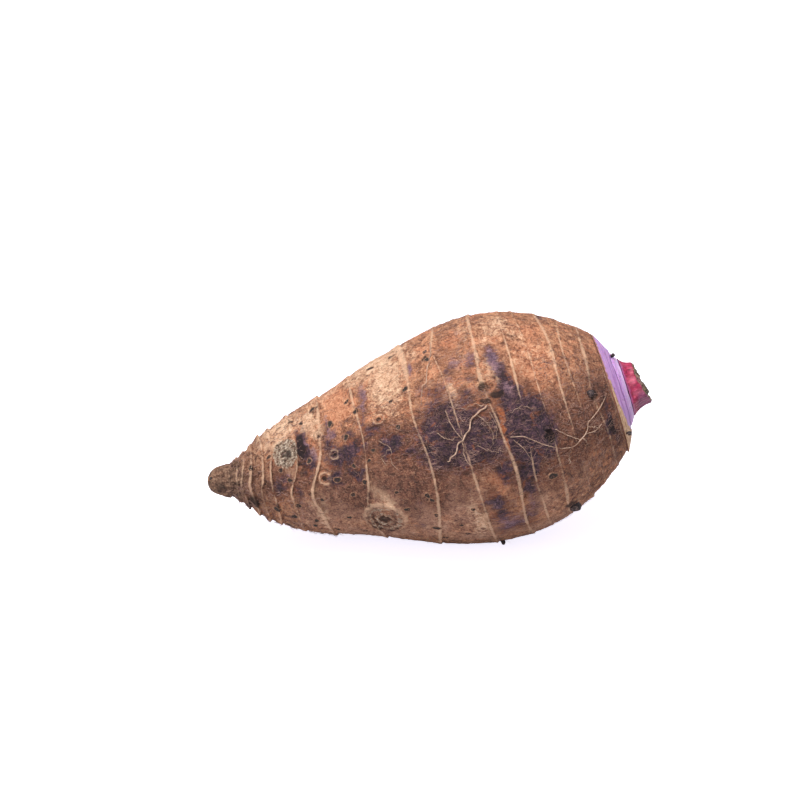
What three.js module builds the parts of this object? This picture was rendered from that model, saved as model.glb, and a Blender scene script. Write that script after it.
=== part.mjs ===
// A taro root that lies on its belly: the corm with its root tail, the leaf bases that are left on its crown,
// the cut stump of its leaf stalk, its side buds and a few rootlets.
// Millimetres, +Z up. +X runs from the tail to the crown, and -Y is the front.
import * as THREE from "three";

// Driving dimensions
const LENGTH = 180; // the corm alone, from the tail's tip to the rim of its crown
const RADIUS = 49.5; // the corm at its widest
const TAIL_SWING = 9; // how far the tail's tip is to the front
const BELLY_FLAT = 1.8; // how much of the belly is pressed flat where it rests
const CLEARANCE = 0.35; // between a piece and the one that it grows on
const COLLAR_RADIUS = 26.2; // the outer leaf base at its foot
const COLLAR_BORE = 17.6;
const COLLAR_HEIGHT = 4.4;
const HUSK_HEIGHT = 3.9;
const HUSK_THICKNESS = 1.2;
const HUSK_TURN = 30; // degrees from the crown's underside to the husk's middle, towards the front
const INNER_BASE_HEIGHT = 7.1;
const STALK_FOOT = 13.2; // the stalk's radius where it leaves the crown
const STALK_RADIUS = 9.4; // and at the cut
const STALK_HEIGHT = 7.6;
const STALK_CORE = 5.6;
const CORE_HEIGHT = 8.8;
const STALK_LEAN = 0.03; // rise per length beyond the crown's own direction
const CUT_SLANT = 0.2; // the cut's lower side is longer

// The spine that the corm grows along: [x, height] for even steps along it. The crown is raised.
const SPINE = [
  [-1, 35.8],
  [23, 34.5],
  [42, 34.9],
  [60, 37.7],
  [83, 42.9],
  [107, 47.7],
  [124, 51.5],
  [141, 56],
  [158, 60.9],
  [176, 66.2],
];
const TAIL_SWING_OVER = 60; // the tail leaves the corm's own plane over this length

// Girth: [distance from the tail's tip, radius].
const GIRTH = [
  [0, 3.2],
  [4, 5.4],
  [12, 7.2],
  [15, 8.6],
  [18, 10.8],
  [24, 16.2],
  [30, 20.3],
  [42, 25.8],
  [60, 31.5],
  [84, 40.2],
  [108, 47.3],
  [124, RADIUS],
  [138, 48.8],
  [150, 46],
  [162, 40.8],
  [171, 34.8],
  [177, 30.2],
  [LENGTH, 27.4],
];

// Leaf scars ring the corm: [distance from the tip, height of the lip]. They crowd together at both ends.
const LEAF_SCARS = [
  [13.5, 0.8],
  [16, 0.9],
  [18.7, 0.9],
  [21.6, 0.8],
  [25, 0.7],
  [29, 0.7],
  [34, 0.6],
  [41, 0.6],
  [50, 0.6],
  [71, 0.55],
  [96, 0.55],
  [113, 0.45],
  [131, 0.55],
  [141, 0.4],
  [150, 0.35],
  [159, 0.45],
  [167, 0.3],
  [174.5, 0.45],
];
const LIP_BEFORE = 1.2; // a lip rises over this distance on its tail side
const LIP_AFTER = 0.9; // and falls over this one on its crown side
const HIGHEST_LIP = 0.6; // of the lips that rootlets lie across

// Knobs where daughter corms broke off: [distance from the tip, degrees round, radius, height].
const KNOBS = [
  [37, 40, 6, 1.8],
  [74, 112, 7.5, 1.6],
  [131, 42, 6.5, 1.2],
  [92, -75, 8, 1.8],
  [58, -130, 6, 1.5],
  [140, -120, 6.5, 1.3],
];

// Side buds: [distance from the tip, degrees round, radius, height].
const SIDE_BUDS = [
  [171.2, 60, 1.7, 1.6],
  [151.5, 132, 2.6, 2.2],
  [120, 152, 1.2, 1.8],
  [105, -58, 2, 1.7],
  [154.5, -96, 2.2, 1.9],
];
const BUD_SINK = 0.1; // what a bud's flat foot loses of the clearance on the round corm
const BUD_SIDES = 12;

// Rootlets lie across the skin: a radius, then [distance from the tip, degrees round] on the way.
const ROOTLETS = [
  { radius: 0.45, way: [[128, 54], [121, 60], [114, 68], [107, 74]] },
  { radius: 0.35, way: [[115.5, 70], [118, 79], [122, 86]] },
  { radius: 0.35, way: [[134, 62], [141, 73], [149, 82], [157, 87]] },
  { radius: 0.4, way: [[159.5, 88], [163, 86], [166, 80], [169, 74]] },
  { radius: 0.35, way: [[108, 7], [103, 25], [99, 43]] },
  { radius: 0.4, way: [[98, -40], [106, -50], [112, -64], [110, -80]] },
  { radius: 0.35, way: [[62, -92], [70, -100], [80, -104], [88, -116]] },
];
const ROOTLET_SIDES = 6;
const STEPS_PER_STRETCH = 4;

// Mesh fineness
const AROUND = 48;
const LONGEST_STEP = 4.4;
const SHORTEST_STEP = 0.2;

const material = (name, color, roughness) =>
  new THREE.MeshStandardMaterial({ name, color, roughness, metalness: 0 });
const skin = material("skin", 0xa8714c, 0.85);
const sheath = material("sheath", 0xb18ac4, 0.55);
const husk = material("husk", 0xc2a27e, 0.9);
const stalk = material("stalk", 0xa8375f, 0.45);
const core = material("stalk_core", 0x7d5350, 0.7);
const bud = material("bud_scale", 0x33252b, 0.8);
const root = material("rootlet", 0xc49a72, 0.85);

const { degToRad, clamp } = THREE.MathUtils;

function named(name, geometry, look) {
  const mesh = new THREE.Mesh(geometry, look);
  mesh.name = name;
  return mesh;
}

// A smooth function through [x, y] pairs.
function smooth(pairs) {
  const xs = pairs.map(([x]) => x);
  const ys = pairs.map(([, y]) => y);
  const curve = new THREE.CubicInterpolant(xs, ys, 1);
  return (x) => curve.evaluate(x)[0];
}

const girth = smooth(GIRTH);

const spine = new THREE.CatmullRomCurve3(
  SPINE.map(([x, z]) => {
    const share = clamp(1 - x / TAIL_SWING_OVER, 0, 1);
    return new THREE.Vector3(x, -TAIL_SWING * share ** 1.5, z);
  }),
);

// The middle of the corm at a distance from the tip, with unit vectors along, up from and to its front.
function axesAt(distance) {
  const share = clamp(distance / LENGTH, 0, 1);
  const along = spine.getTangentAt(share);
  const front = new THREE.Vector3().crossVectors(along, new THREE.Vector3(0, 0, 1)).normalize();
  const up = new THREE.Vector3().crossVectors(front, along);
  const middle = spine.getPointAt(share).addScaledVector(along, distance - share * LENGTH);
  return { middle, along, up, front };
}

// Angles run round the corm from its top to its front.
function outward({ up, front }, angle) {
  return up.clone().multiplyScalar(Math.cos(angle)).addScaledVector(front, Math.sin(angle));
}

// The corm isn't quite round: shares of its radius that wander along it.
function unevenness(distance, angle) {
  return (
    0.018 * Math.cos(2 * angle + 0.6 + distance / 90) +
    0.01 * Math.cos(3 * angle - 1 + distance / 45) +
    0.005 * Math.cos(5 * angle + 2 - distance / 30)
  );
}

// The corm's radius, without the lips of its leaf scars.
function bareRadius(distance, angle) {
  const round = girth(clamp(distance, 0, LENGTH));
  let knobs = 0;
  for (const [at, turn, radius, top] of KNOBS) {
    const off = angle - degToRad(turn);
    const across = Math.atan2(Math.sin(off), Math.cos(off)) * round;
    const away = ((distance - at) ** 2 + across ** 2) / radius ** 2;
    knobs += top * Math.exp(-away * away);
  }
  return round * (1 + unevenness(distance, angle)) + knobs;
}

function lipHeight(distance) {
  let height = 0;
  for (const [at, top] of LEAF_SCARS) {
    const gap = distance - at;
    const reach = gap < 0 ? LIP_BEFORE : LIP_AFTER;
    height = Math.max(height, top * (1 - Math.abs(gap) / reach));
  }
  return height;
}

// A place on the bare skin and the direction straight out of it.
function skinAt(distance, angle) {
  const place = (d, a) => {
    const axes = axesAt(d);
    return axes.middle.addScaledVector(outward(axes, a), bareRadius(d, a));
  };
  const along = place(distance + 1, angle).sub(place(distance - 1, angle));
  const around = place(distance, angle + 0.05).sub(place(distance, angle - 0.05));
  return { at: place(distance, angle), out: around.cross(along).normalize() };
}

// Distances from the tip for the corm's rows of points: three for each lip, and long gaps are filled.
function rows() {
  const wanted = LEAF_SCARS.flatMap(([at]) => [at - LIP_BEFORE, at, at + LIP_AFTER]);
  wanted.push(4, 8, LENGTH);
  wanted.sort((a, b) => a - b);
  const distances = [2];
  for (const next of wanted) {
    const last = distances[distances.length - 1];
    const steps = Math.ceil((next - last) / LONGEST_STEP);
    if (next - last < SHORTEST_STEP) continue;
    for (let i = 1; i <= steps; i++) distances.push(last + ((next - last) * i) / steps);
  }
  return distances;
}

// A round turned body about +Y from [radius, height] pairs that start at its bottom.
function turned(pairs, segments = AROUND) {
  return new THREE.LatheGeometry(
    pairs.map(([radius, height]) => new THREE.Vector2(radius, height)),
    segments,
  );
}

// Moves each point of a geometry by a function that changes the vector it gets.
function reshaped(geometry, move) {
  const points = geometry.attributes.position;
  const at = new THREE.Vector3();
  for (let i = 0; i < points.count; i++) {
    move(at.fromBufferAttribute(points, i));
    points.setXYZ(i, at.x, at.y, at.z);
  }
  return geometry;
}

// The corm is turned round, laid along its spine with its relief, and pressed flat below.
function makeCorm() {
  const tip = girth(0);
  const rim = girth(LENGTH);
  const geometry = turned([
    [0, 0],
    [0.6 * tip, 0.2],
    [tip, 1],
    ...rows().map((distance) => [girth(distance), distance]),
    [rim - 1.2, LENGTH + 0.6],
    [0, LENGTH + 0.6],
  ]);
  reshaped(geometry, (at) => {
    const angle = Math.atan2(-at.z, at.x);
    const distance = at.y;
    const share = Math.hypot(at.x, at.z) / girth(clamp(distance, 0, LENGTH));
    const axes = axesAt(distance);
    const reach = share * (bareRadius(distance, angle) + lipHeight(distance));
    at.copy(axes.middle).addScaledVector(outward(axes, angle), reach);
  });
  geometry.computeBoundingBox();
  const floor = geometry.boundingBox.min.z + BELLY_FLAT;
  reshaped(geometry, (at) => at.setZ(Math.max(at.z, floor)));
  return named("corm", geometry, skin);
}

// The crown's pieces stand along its own +Y, with +X down and +Z to the front.
function makeCrown() {
  const { middle, along, up, front } = axesAt(LENGTH);
  const crown = new THREE.Group();
  const basis = new THREE.Matrix4().makeBasis(up.negate(), along, front);
  crown.quaternion.setFromRotationMatrix(basis);
  crown.position.copy(middle).addScaledVector(along, 0.6 + CLEARANCE);
  crown.add(makeOuterBase(), makeHuskBand(), makeInnerBase(), makeStalk(), makeStalkCore());
  return crown;
}

// The radius of the trimmed collar's cone at a height above its foot.
function collarRadius(height) {
  return COLLAR_RADIUS - (COLLAR_RADIUS - COLLAR_BORE - 0.5) * (height / COLLAR_HEIGHT);
}

// The outermost leaf base that is left: a low collar, trimmed to a cone, with a wavy edge.
function makeOuterBase() {
  const geometry = turned([
    [COLLAR_BORE, 0],
    [COLLAR_RADIUS, 0],
    [collarRadius(0.4), 0.4],
    [collarRadius(COLLAR_HEIGHT / 2), COLLAR_HEIGHT / 2],
    [collarRadius(COLLAR_HEIGHT), COLLAR_HEIGHT],
    [COLLAR_BORE, COLLAR_HEIGHT],
    [COLLAR_BORE, 0],
  ]);
  reshaped(geometry, (at) => {
    const angle = Math.atan2(at.z, at.x);
    at.y *= 1 + 0.05 * Math.sin(3 * angle) - 0.03 * Math.sin(7 * angle + 1);
  });
  return named("outer_leaf_base", geometry, sheath);
}

// The dry husk of an older leaf base: a crescent that hugs the collar's lower front.
function makeHuskBand() {
  const reach = degToRad(100);
  const steps = 30;
  const inner = COLLAR_RADIUS + 2 * CLEARANCE;
  const outline = new THREE.Shape();
  for (let i = 0; i <= steps; i++) {
    const angle = ((2 * i) / steps - 1) * reach;
    const radius = inner + 0.3 + HUSK_THICKNESS * Math.cos(angle / 1.2) ** 2;
    outline[i ? "lineTo" : "moveTo"](radius * Math.cos(angle), radius * Math.sin(angle));
  }
  for (let i = steps; i >= 0; i--) {
    const angle = ((2 * i) / steps - 1) * reach;
    outline.lineTo(inner * Math.cos(angle), inner * Math.sin(angle));
  }
  const geometry = new THREE.ExtrudeGeometry(outline, { depth: 1, steps: 3, bevelEnabled: false });
  reshaped(geometry, (at) => {
    const angle = Math.atan2(at.y, at.x);
    at.z *= HUSK_HEIGHT * (0.15 + 0.85 * Math.cos(angle / 1.2) ** 2);
    const narrower = (COLLAR_RADIUS - collarRadius(at.z)) / inner;
    at.x *= 1 - narrower;
    at.y *= 1 - narrower;
  });
  geometry.rotateX(-Math.PI / 2);
  geometry.rotateY(-degToRad(HUSK_TURN));
  return named("husk_band", geometry, husk);
}

// The inner leaf base: a plug in the collar's bore, trimmed to the same cone, that closes on the stalk.
function makeInnerBase() {
  const outer = COLLAR_BORE - CLEARANCE;
  const geometry = turned([
    [0, 0],
    [outer, 0],
    [outer, COLLAR_HEIGHT],
    [outer - 0.5, COLLAR_HEIGHT + 0.5],
    [STALK_FOOT + 0.4, INNER_BASE_HEIGHT],
    [0, INNER_BASE_HEIGHT],
  ]);
  return named("inner_leaf_base", geometry, sheath);
}

// Leans the stalk's pieces up and slants their cut.
function leant(geometry) {
  const foot = INNER_BASE_HEIGHT + CLEARANCE;
  return reshaped(geometry, (at) => {
    const rise = at.y - foot;
    at.y += ((CUT_SLANT * rise) / STALK_HEIGHT) * at.x;
    at.x -= STALK_LEAN * rise;
  });
}

// The stalk's outer leaf: a fluted tube that spreads at its foot.
function makeStalk() {
  const bore = STALK_CORE + CLEARANCE;
  const foot = INNER_BASE_HEIGHT + CLEARANCE;
  const spread = (height) => STALK_RADIUS + (STALK_FOOT - STALK_RADIUS) * Math.exp(-height / 3);
  const geometry = turned([
    [bore, foot],
    ...[0, 0.8, 1.8, 3, 4.5, 6, 7.1].map((height) => [spread(height), foot + height]),
    [STALK_RADIUS - 0.8, foot + STALK_HEIGHT],
    [bore, foot + STALK_HEIGHT],
    [bore, foot],
  ]);
  reshaped(geometry, (at) => {
    const angle = Math.atan2(at.z, at.x);
    const outside = Math.hypot(at.x, at.z) > bore + 1;
    const flute = outside ? 1 + 0.025 * Math.cos(9 * angle) + 0.02 * Math.cos(4 * angle) : 1;
    at.x *= flute;
    at.z *= flute;
  });
  return named("leaf_stalk", leant(geometry), stalk);
}

// The stalk's folded core, which stands a little out of the cut.
function makeStalkCore() {
  const foot = INNER_BASE_HEIGHT + CLEARANCE;
  const geometry = turned([
    [0, foot],
    [STALK_CORE, foot],
    [STALK_CORE, foot + CORE_HEIGHT - 0.8],
    [STALK_CORE - 0.8, foot + CORE_HEIGHT],
    [0, foot + CORE_HEIGHT - 0.4],
  ]);
  return named("stalk_core", leant(geometry), core);
}

// A pointed scale that stands on the skin.
function makeSideBud([distance, turn, radius, height], index) {
  const geometry = turned(
    [
      [0, 0],
      [radius, 0],
      [0.94 * radius, 0.35 * height],
      [0.6 * radius, 0.75 * height],
      [0, height],
    ],
    BUD_SIDES,
  );
  const mesh = named(`side_bud_${index + 1}`, geometry, bud);
  const { at, out } = skinAt(distance, degToRad(turn));
  mesh.quaternion.setFromUnitVectors(new THREE.Vector3(0, 1, 0), out);
  mesh.position.copy(at).addScaledVector(out, CLEARANCE + BUD_SINK);
  return mesh;
}

// A root that lies on the skin across the lips of the leaf scars.
function makeRootlet({ radius, way }, index) {
  const steps = STEPS_PER_STRETCH * way.length;
  const height = HIGHEST_LIP + CLEARANCE + radius;
  const route = new THREE.CatmullRomCurve3(way.map(([distance, turn]) => new THREE.Vector3(distance, turn)));
  const line = route.getPoints(steps).map((place) => {
    const { at, out } = skinAt(place.x, degToRad(place.y));
    return at.addScaledVector(out, height);
  });
  const section = new THREE.Shape();
  for (let i = 0; i < ROOTLET_SIDES; i++) {
    const angle = (2 * Math.PI * i) / ROOTLET_SIDES;
    section[i ? "lineTo" : "moveTo"](radius * Math.cos(angle), radius * Math.sin(angle));
  }
  const extrudePath = new THREE.CatmullRomCurve3(line);
  const geometry = new THREE.ExtrudeGeometry(section, { extrudePath, steps });
  return named(`rootlet_${index + 1}`, geometry, root);
}

// Puts the lowest point on the resting plane and the middle of the part over the origin.
function standAtOrigin(group) {
  const box = new THREE.Box3().setFromObject(group, true);
  const middle = box.getCenter(new THREE.Vector3());
  group.position.set(-middle.x, -middle.y, -box.min.z);
}

const taro = new THREE.Group();
taro.add(makeCorm(), makeCrown());
taro.add(...SIDE_BUDS.map(makeSideBud), ...ROOTLETS.map(makeRootlet));
standAtOrigin(taro);

export default taro;
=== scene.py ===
import math

import bpy
import numpy as np
from mathutils import Matrix, Vector


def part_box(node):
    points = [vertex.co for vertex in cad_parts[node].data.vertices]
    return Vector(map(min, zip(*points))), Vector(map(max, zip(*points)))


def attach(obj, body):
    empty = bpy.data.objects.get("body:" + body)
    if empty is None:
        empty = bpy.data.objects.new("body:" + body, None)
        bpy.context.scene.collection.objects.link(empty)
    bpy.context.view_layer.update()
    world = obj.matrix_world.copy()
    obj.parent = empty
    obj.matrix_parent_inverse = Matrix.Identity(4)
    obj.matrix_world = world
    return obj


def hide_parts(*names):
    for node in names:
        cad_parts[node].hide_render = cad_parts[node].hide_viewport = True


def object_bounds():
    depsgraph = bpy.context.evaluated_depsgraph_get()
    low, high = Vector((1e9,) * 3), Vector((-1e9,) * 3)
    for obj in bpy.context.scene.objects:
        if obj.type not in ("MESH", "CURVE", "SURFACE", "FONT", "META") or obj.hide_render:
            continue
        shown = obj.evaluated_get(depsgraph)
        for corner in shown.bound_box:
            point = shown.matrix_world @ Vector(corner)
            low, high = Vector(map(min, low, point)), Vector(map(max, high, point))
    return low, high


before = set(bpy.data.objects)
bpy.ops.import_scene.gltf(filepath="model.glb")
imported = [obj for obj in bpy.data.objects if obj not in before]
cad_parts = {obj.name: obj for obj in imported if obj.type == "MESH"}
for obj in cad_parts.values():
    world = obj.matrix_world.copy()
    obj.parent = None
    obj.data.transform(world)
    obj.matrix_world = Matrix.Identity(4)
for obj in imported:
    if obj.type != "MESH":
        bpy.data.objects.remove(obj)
cad_low, cad_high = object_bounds()
MM = 0.001

# ---------------------------------------------------------------- the corm's own form, in millimetres

LENGTH = 180.0
TAIL_SWING = 9.0
TAIL_SWING_OVER = 60.0
BELLY_FLAT = 1.8
SPINE = [(-1, 35.8), (23, 34.5), (42, 34.9), (60, 37.7), (83, 42.9), (107, 47.7), (124, 51.5), (141, 56),
         (158, 60.9), (176, 66.2)]
GIRTH = [(0, 3.2), (4, 5.4), (12, 7.2), (15, 8.6), (18, 10.8), (24, 16.2), (30, 20.3), (42, 25.8), (60, 31.5),
         (84, 40.2), (108, 47.3), (124, 49.5), (138, 48.8), (150, 46), (162, 40.8), (171, 34.8), (177, 30.2),
         (LENGTH, 27.4)]
KNOBS = [(37, 40, 6, 1.8), (74, 112, 7.5, 1.6), (131, 42, 6.5, 1.2), (92, -75, 8, 1.8), (58, -130, 6, 1.5),
         (140, -120, 6.5, 1.3)]

# Leaf scars: (ridge height, [(degrees round, distance from the tail's tip, width of the pale line), ...])
RINGS = [
    (0.35, [(-25, 9, 0.5), (60, 8, 0.5), (150, 9.5, 0.5), (240, 9.7, 0.5)]),
    (0.5, [(-25, 13.2, 0.6), (20, 12, 0.6), (60, 11, 0.7), (100, 11.5, 0.6), (150, 13.8, 0.6),
           (240, 14.2, 0.6)]),
    (0.7, [(-25, 16.5, 0.7), (10, 15.2, 0.8), (45, 13.6, 0.8), (80, 12.9, 0.8), (110, 14.5, 0.7),
           (140, 17, 0.7), (220, 18, 0.6), (300, 17, 0.6)]),
    (0.9, [(-25, 19.8, 0.8), (10, 18.5, 0.9), (40, 17.1, 1), (60, 16.4, 1.2), (85, 16.1, 1.2),
           (105, 17.6, 0.8), (135, 20.5, 0.7), (220, 22, 0.6), (300, 20.5, 0.6)]),
    (0.8, [(-25, 23.8, 0.7), (10, 23, 0.8), (40, 22, 0.8), (70, 21.1, 0.8), (90, 20.7, 0.8), (110, 22, 0.7),
           (135, 24.5, 0.7), (220, 26, 0.6), (300, 24.5, 0.6)]),
    (0.75, [(-25, 28.5, 0.8), (0, 27.3, 0.9), (20, 26.3, 0.8), (40, 25.6, 0.7), (60, 24.6, 0.7),
            (80, 25, 0.7), (100, 26.4, 0.8), (120, 28, 0.8), (140, 29.5, 0.7), (220, 31, 0.6),
            (290, 29.5, 0.7)]),
    (0.7, [(-25, 38, 0.9), (0, 37.9, 1), (20, 37.4, 0.8), (40, 36.8, 0.6), (58, 36, 0.7), (72, 34, 0.9),
           (85, 32.6, 0.9), (95, 33.3, 1), (105, 34.6, 1), (120, 36.2, 1), (135, 38, 0.9), (200, 40, 0.7),
           (280, 39, 0.8)]),
    (0.7, [(-25, 55.5, 1), (0, 54.4, 1.4), (10, 53.6, 2.2), (22, 52.4, 2.4), (34, 51, 1.8), (46, 50, 1.6),
           (54, 48.5, 1.6), (62, 46.4, 1.6), (70, 44.2, 1.5), (82, 42.1, 1.5), (92, 42.2, 1.5),
           (102, 44.3, 1.8), (116, 46.2, 1.8), (130, 48.2, 1.4), (145, 50, 1), (200, 52, 0.8),
           (280, 55, 0.9)]),
    (0.65, [(-25, 71, 1.4), (0, 71.8, 1.3), (20, 72, 1.2), (34, 72.4, 1.1), (48, 72.7, 0.9), (62, 72, 0.8),
            (72, 70.8, 1), (84, 69.5, 1.4), (98, 67.2, 1.2), (112, 67.5, 0.5), (128, 69.8, 1.2),
            (142, 70.6, 1.2), (200, 71, 0.8), (280, 70.5, 1)]),
    (0.65, [(-25, 93.6, 2.6), (-8, 94.6, 3.2), (10, 95.2, 3), (22, 95.2, 2.2), (34, 94.5, 1.3),
            (46, 94.1, 1.1), (56, 94.8, 1), (66, 96.2, 1), (78, 97.1, 1), (90, 97.2, 1.1), (102, 96.5, 1.4),
            (114, 95.6, 1.5), (128, 94.8, 1.6), (145, 94.2, 1.4), (200, 95, 0.8), (280, 94, 1.2)]),
    (0.45, [(-25, 112, 1.4), (-10, 111, 1.3), (0, 109.7, 1.2), (8, 108.8, 1.1), (15, 109.1, 0.9),
            (25, 110.3, 0.8), (38, 111.3, 1), (50, 112, 0.6), (62, 112.8, 0.5), (75, 113.3, 0.9),
            (88, 114.1, 1.2), (105, 115.2, 1.3), (120, 116, 1.2), (140, 117.3, 1.1), (200, 116, 0.7),
            (280, 113, 0.9)]),
    (0.6, [(-30, 130, 1.2), (-10, 129.1, 1.7), (10, 128.6, 1.9), (25, 128, 2.2), (36, 127, 2.4), (50, 128, 1),
           (60, 129.4, 0.9), (72, 130.3, 1.2), (82, 131.5, 1.7), (92, 131.6, 1.6), (105, 130.9, 1.3),
           (120, 130.5, 1.2), (140, 131.8, 1.2), (200, 132, 0.8), (270, 131, 1)]),
    (0.35, [(-30, 143.3, 1), (0, 143, 1.2), (15, 142.8, 1), (30, 142.7, 1), (48, 142.1, 0.9),
            (62, 141.5, 0.4), (80, 139.8, 0.4), (95, 138.7, 0.9), (110, 139.2, 1), (130, 139.7, 0.9),
            (160, 141, 0.6), (240, 143, 0.8)]),
    (0.35, [(-20, 149.8, 0.5), (10, 150.8, 0.8), (30, 151.2, 0.9), (50, 150.8, 0.6), (70, 151, 0.5),
            (90, 150.4, 0.9), (105, 150, 1.3), (117, 149.3, 1.5), (122, 149, 1), (150, 150, 0.6),
            (230, 151, 0.6)]),
    (0.45, [(-40, 159, 0.8), (-8, 159.6, 1.4), (10, 160.8, 1.5), (28, 161, 1.2), (45, 160.2, 0.9),
            (70, 159.8, 0.5), (100, 159.6, 0.4), (140, 160.5, 0.5), (230, 160, 0.7)]),
    (0.3, [(-20, 167.8, 0.5), (10, 166.2, 0.8), (30, 165.5, 0.9), (60, 165.8, 0.5), (100, 166.5, 0.5),
           (130, 167.2, 0.5), (220, 167.5, 0.6)]),
    (0.45, [(-60, 176, 0.8), (-20, 175.2, 0.8), (10, 174.5, 1.2), (30, 174, 1.6), (45, 173.3, 1.4),
            (56, 172.3, 1.2), (66, 172.3, 1), (76, 173, 0.9), (90, 174, 0.9), (120, 174, 0.7),
            (150, 175, 0.7), (230, 175.5, 0.8)]),
]

# Soft-edged marks on the skin: (distance, degrees round, reach along, reach round in mm, strength)
STAINS_AND_SHADOW = [
    (104, 47, 7, 6, 1.0), (101, 60, 6, 8, 1.1), (108, 58, 9, 9, 1.3), (104, 70, 9, 6, 1.3),
    (116, 60, 9, 9, 1.3), (123, 66, 7, 9, 1.2), (118, 46, 6, 5, 0.8), (112, 74, 8, 5, 1.3),
    (121, 76, 7, 3.5, 1.1), (127, 60, 4, 7, 0.9), (137.5, 42, 4, 6, 1.7), (137.8, 54, 4.2, 9, 2.0),
    (137.5, 70, 4.6, 12, 2.3), (138.5, 86, 3, 7, 2.0), (106, 52, 7, 7, 1.5), (112, 66, 9, 8, 1.8),
    (103, 66, 7, 7, 1.6), (122, 70, 7, 6, 1.5), (147, 70, 5, 9, 1.2), (135, 26, 4.5, 7, 1.0),
    (137, 34, 3.5, 4, 1.0), (146, 60, 5, 8, 1.3), (148, 78, 4, 7, 1.2), (128, 86, 3, 6, 0.9),
    (121, 103, 6, 4, 1.0), (122, 111, 6, 7, 0.9), (126, 122, 9, 8, 0.8), (136, 98, 3, 5, 0.9),
    (134, 118, 4, 12, 0.6), (118, 14, 8, 12, 0.42), (114, 26, 5, 8, 0.6), (106, 36, 7, 6, 0.7),
    (124, 26, 4, 6, 0.6), (122, 34, 5, 4, 0.6), (60, 58, 8, 4.5, 1.2), (67, 55, 6, 4, 1.1),
    # the marks at 41 and 42 mm paint the shadow of the undercut beside the crusty scar
    (55, 48, 3, 6, 0.9), (41, 37, 3.2, 6, 1.6), (42, 57, 4, 4, 1.2), (55, 75, 3, 2.5, 1.2),
    (84, 57, 4, 4, 1.2), (81, 62, 3, 4, 0.9), (65, 45, 3, 3, 0.9), (65, 72, 4, 2, 0.9), (28, 84, 2.5, 6, 0.9),
    (30, 70, 2, 4, 0.6), (36, 85, 2, 6, 0.6), (75, 30, 3, 14, 0.6), (98, 16, 2.5, 6, 0.7),
    (54.5, 30, 2.2, 6, 0.7), (57, 36, 2.5, 3, 0.7), (79, 48, 4, 3, 0.9), (90, 66, 6, 4, 0.8),
    (74, 40, 3, 6, 0.6), (176.5, 92, 1.8, 9, 1.2), (177, 74, 1.6, 8, 1.0), (153, 62, 3, 6, 0.5),
    (86, 116, 4, 5, 0.5), (90, 100, 3, 4, 0.4), (110, -110, 14, 18, 0.9), (70, -95, 9, 10, 0.8),
    (135, -70, 8, 16, 0.8), (95, -150, 12, 12, 0.7), (150, -150, 7, 12, 0.7), (50, 160, 9, 9, 0.6),
    (161, -16, 1.6, 5, 1.0), (140, 62, 3.4, 8, 2.4), (142, 76, 2.6, 6, 2.2), (141, 84, 2.2, 4, 1.8),
]
UMBER = [
    (178, 84, 5, 18, 1.4), (174, 86, 5, 12, 0.9), (146, 44, 4, 6, 0.6), (158, 72, 8, 10, 0.9),
    (168, 78, 8, 14, 0.8), (88, 68, 8, 8, 0.9), (134, 96, 5, 6, 0.6), (74, 48, 5, 5, 0.6),
    (9, 60, 3, 40, 0.8), (24, 70, 4, 8, 0.5), (34, 78, 5, 7, 0.5), (28, 45, 3, 4, 0.5), (64, 84, 6, 6, 0.5),
    (110, 84, 5, 5, 0.5), (146, 86, 6, 8, 0.5), (160, 86, 8, 10, 0.5), (134, 72, 5, 10, 0.5),
    (146, 50, 4, 6, 0.5), (26, 30, 5, 8, 0.4), (16, 30, 5, 20, 0.6), (40, 68, 7, 7, 0.6),
    (100, 62, 8, 6, 0.6), (134, 92, 6, 8, 0.7), (88, 74, 6, 6, 0.8), (158, 78, 8, 8, 0.6),
    (146, 92, 6, 8, 0.6), (84, 0, 6, 8, 0.25), (18, 10, 6, 20, 0.5), (26, 0, 6, 12, 0.35),
    (27, 60, 6, 8, 0.7), (50, 94, 8, 8, 0.5), (62, 92, 8, 10, 1.0), (78, 82, 8, 8, 0.7), (86, 92, 7, 10, 0.9),
    (97, 92, 6, 10, 1.0), (108, 90, 5, 10, 0.6), (160, 70, 8, 12, 0.8), (174, 62, 7, 14, 0.7),
    (176, 30, 5, 20, 0.5), (176, -10, 5, 16, 0.5), (146, 98, 7, 10, 0.7), (56, 108, 12, 8, 0.4),
    (160, 96, 8, 10, 0.5), (20, 100, 6, 10, 0.4), (40, 62, 6, 6, 0.5), (90, -8, 6, 8, 0.3),
    (12, 90, 6, 12, 0.7), (20, 60, 6, 12, 0.5), (24, 90, 6, 9, 0.5), (30, 60, 6, 7, 0.6), (62, 62, 8, 8, 0.9),
    (60, 80, 8, 8, 0.7), (74, 54, 9, 8, 0.7), (86, 60, 9, 9, 1.0), (88, 80, 10, 10, 0.8),
    (98, 66, 9, 12, 1.0), (100, 82, 8, 6, 0.6), (110, 68, 10, 14, 1.1), (122, 72, 9, 12, 1.0),
    (134, 80, 8, 16, 1.0), (134, 58, 7, 8, 0.7), (146, 78, 8, 16, 1.1), (146, 58, 6, 7, 0.6),
    (158, 84, 9, 16, 0.8), (170, 80, 8, 16, 0.6), (136, 102, 8, 9, 0.6), (147, 102, 7, 9, 0.5),
    (176, 50, 5, 22, 0.35), (120, 100, 5, 8, 0.5), (75, 122, 7, 6, 0.6), (110, -90, 30, 20, 0.6),
    (60, -120, 20, 14, 0.6), (150, -120, 16, 20, 0.6), (9, -40, 6, 10, 0.5), (14, 0, 5, 12, 0.4),
]
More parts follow.
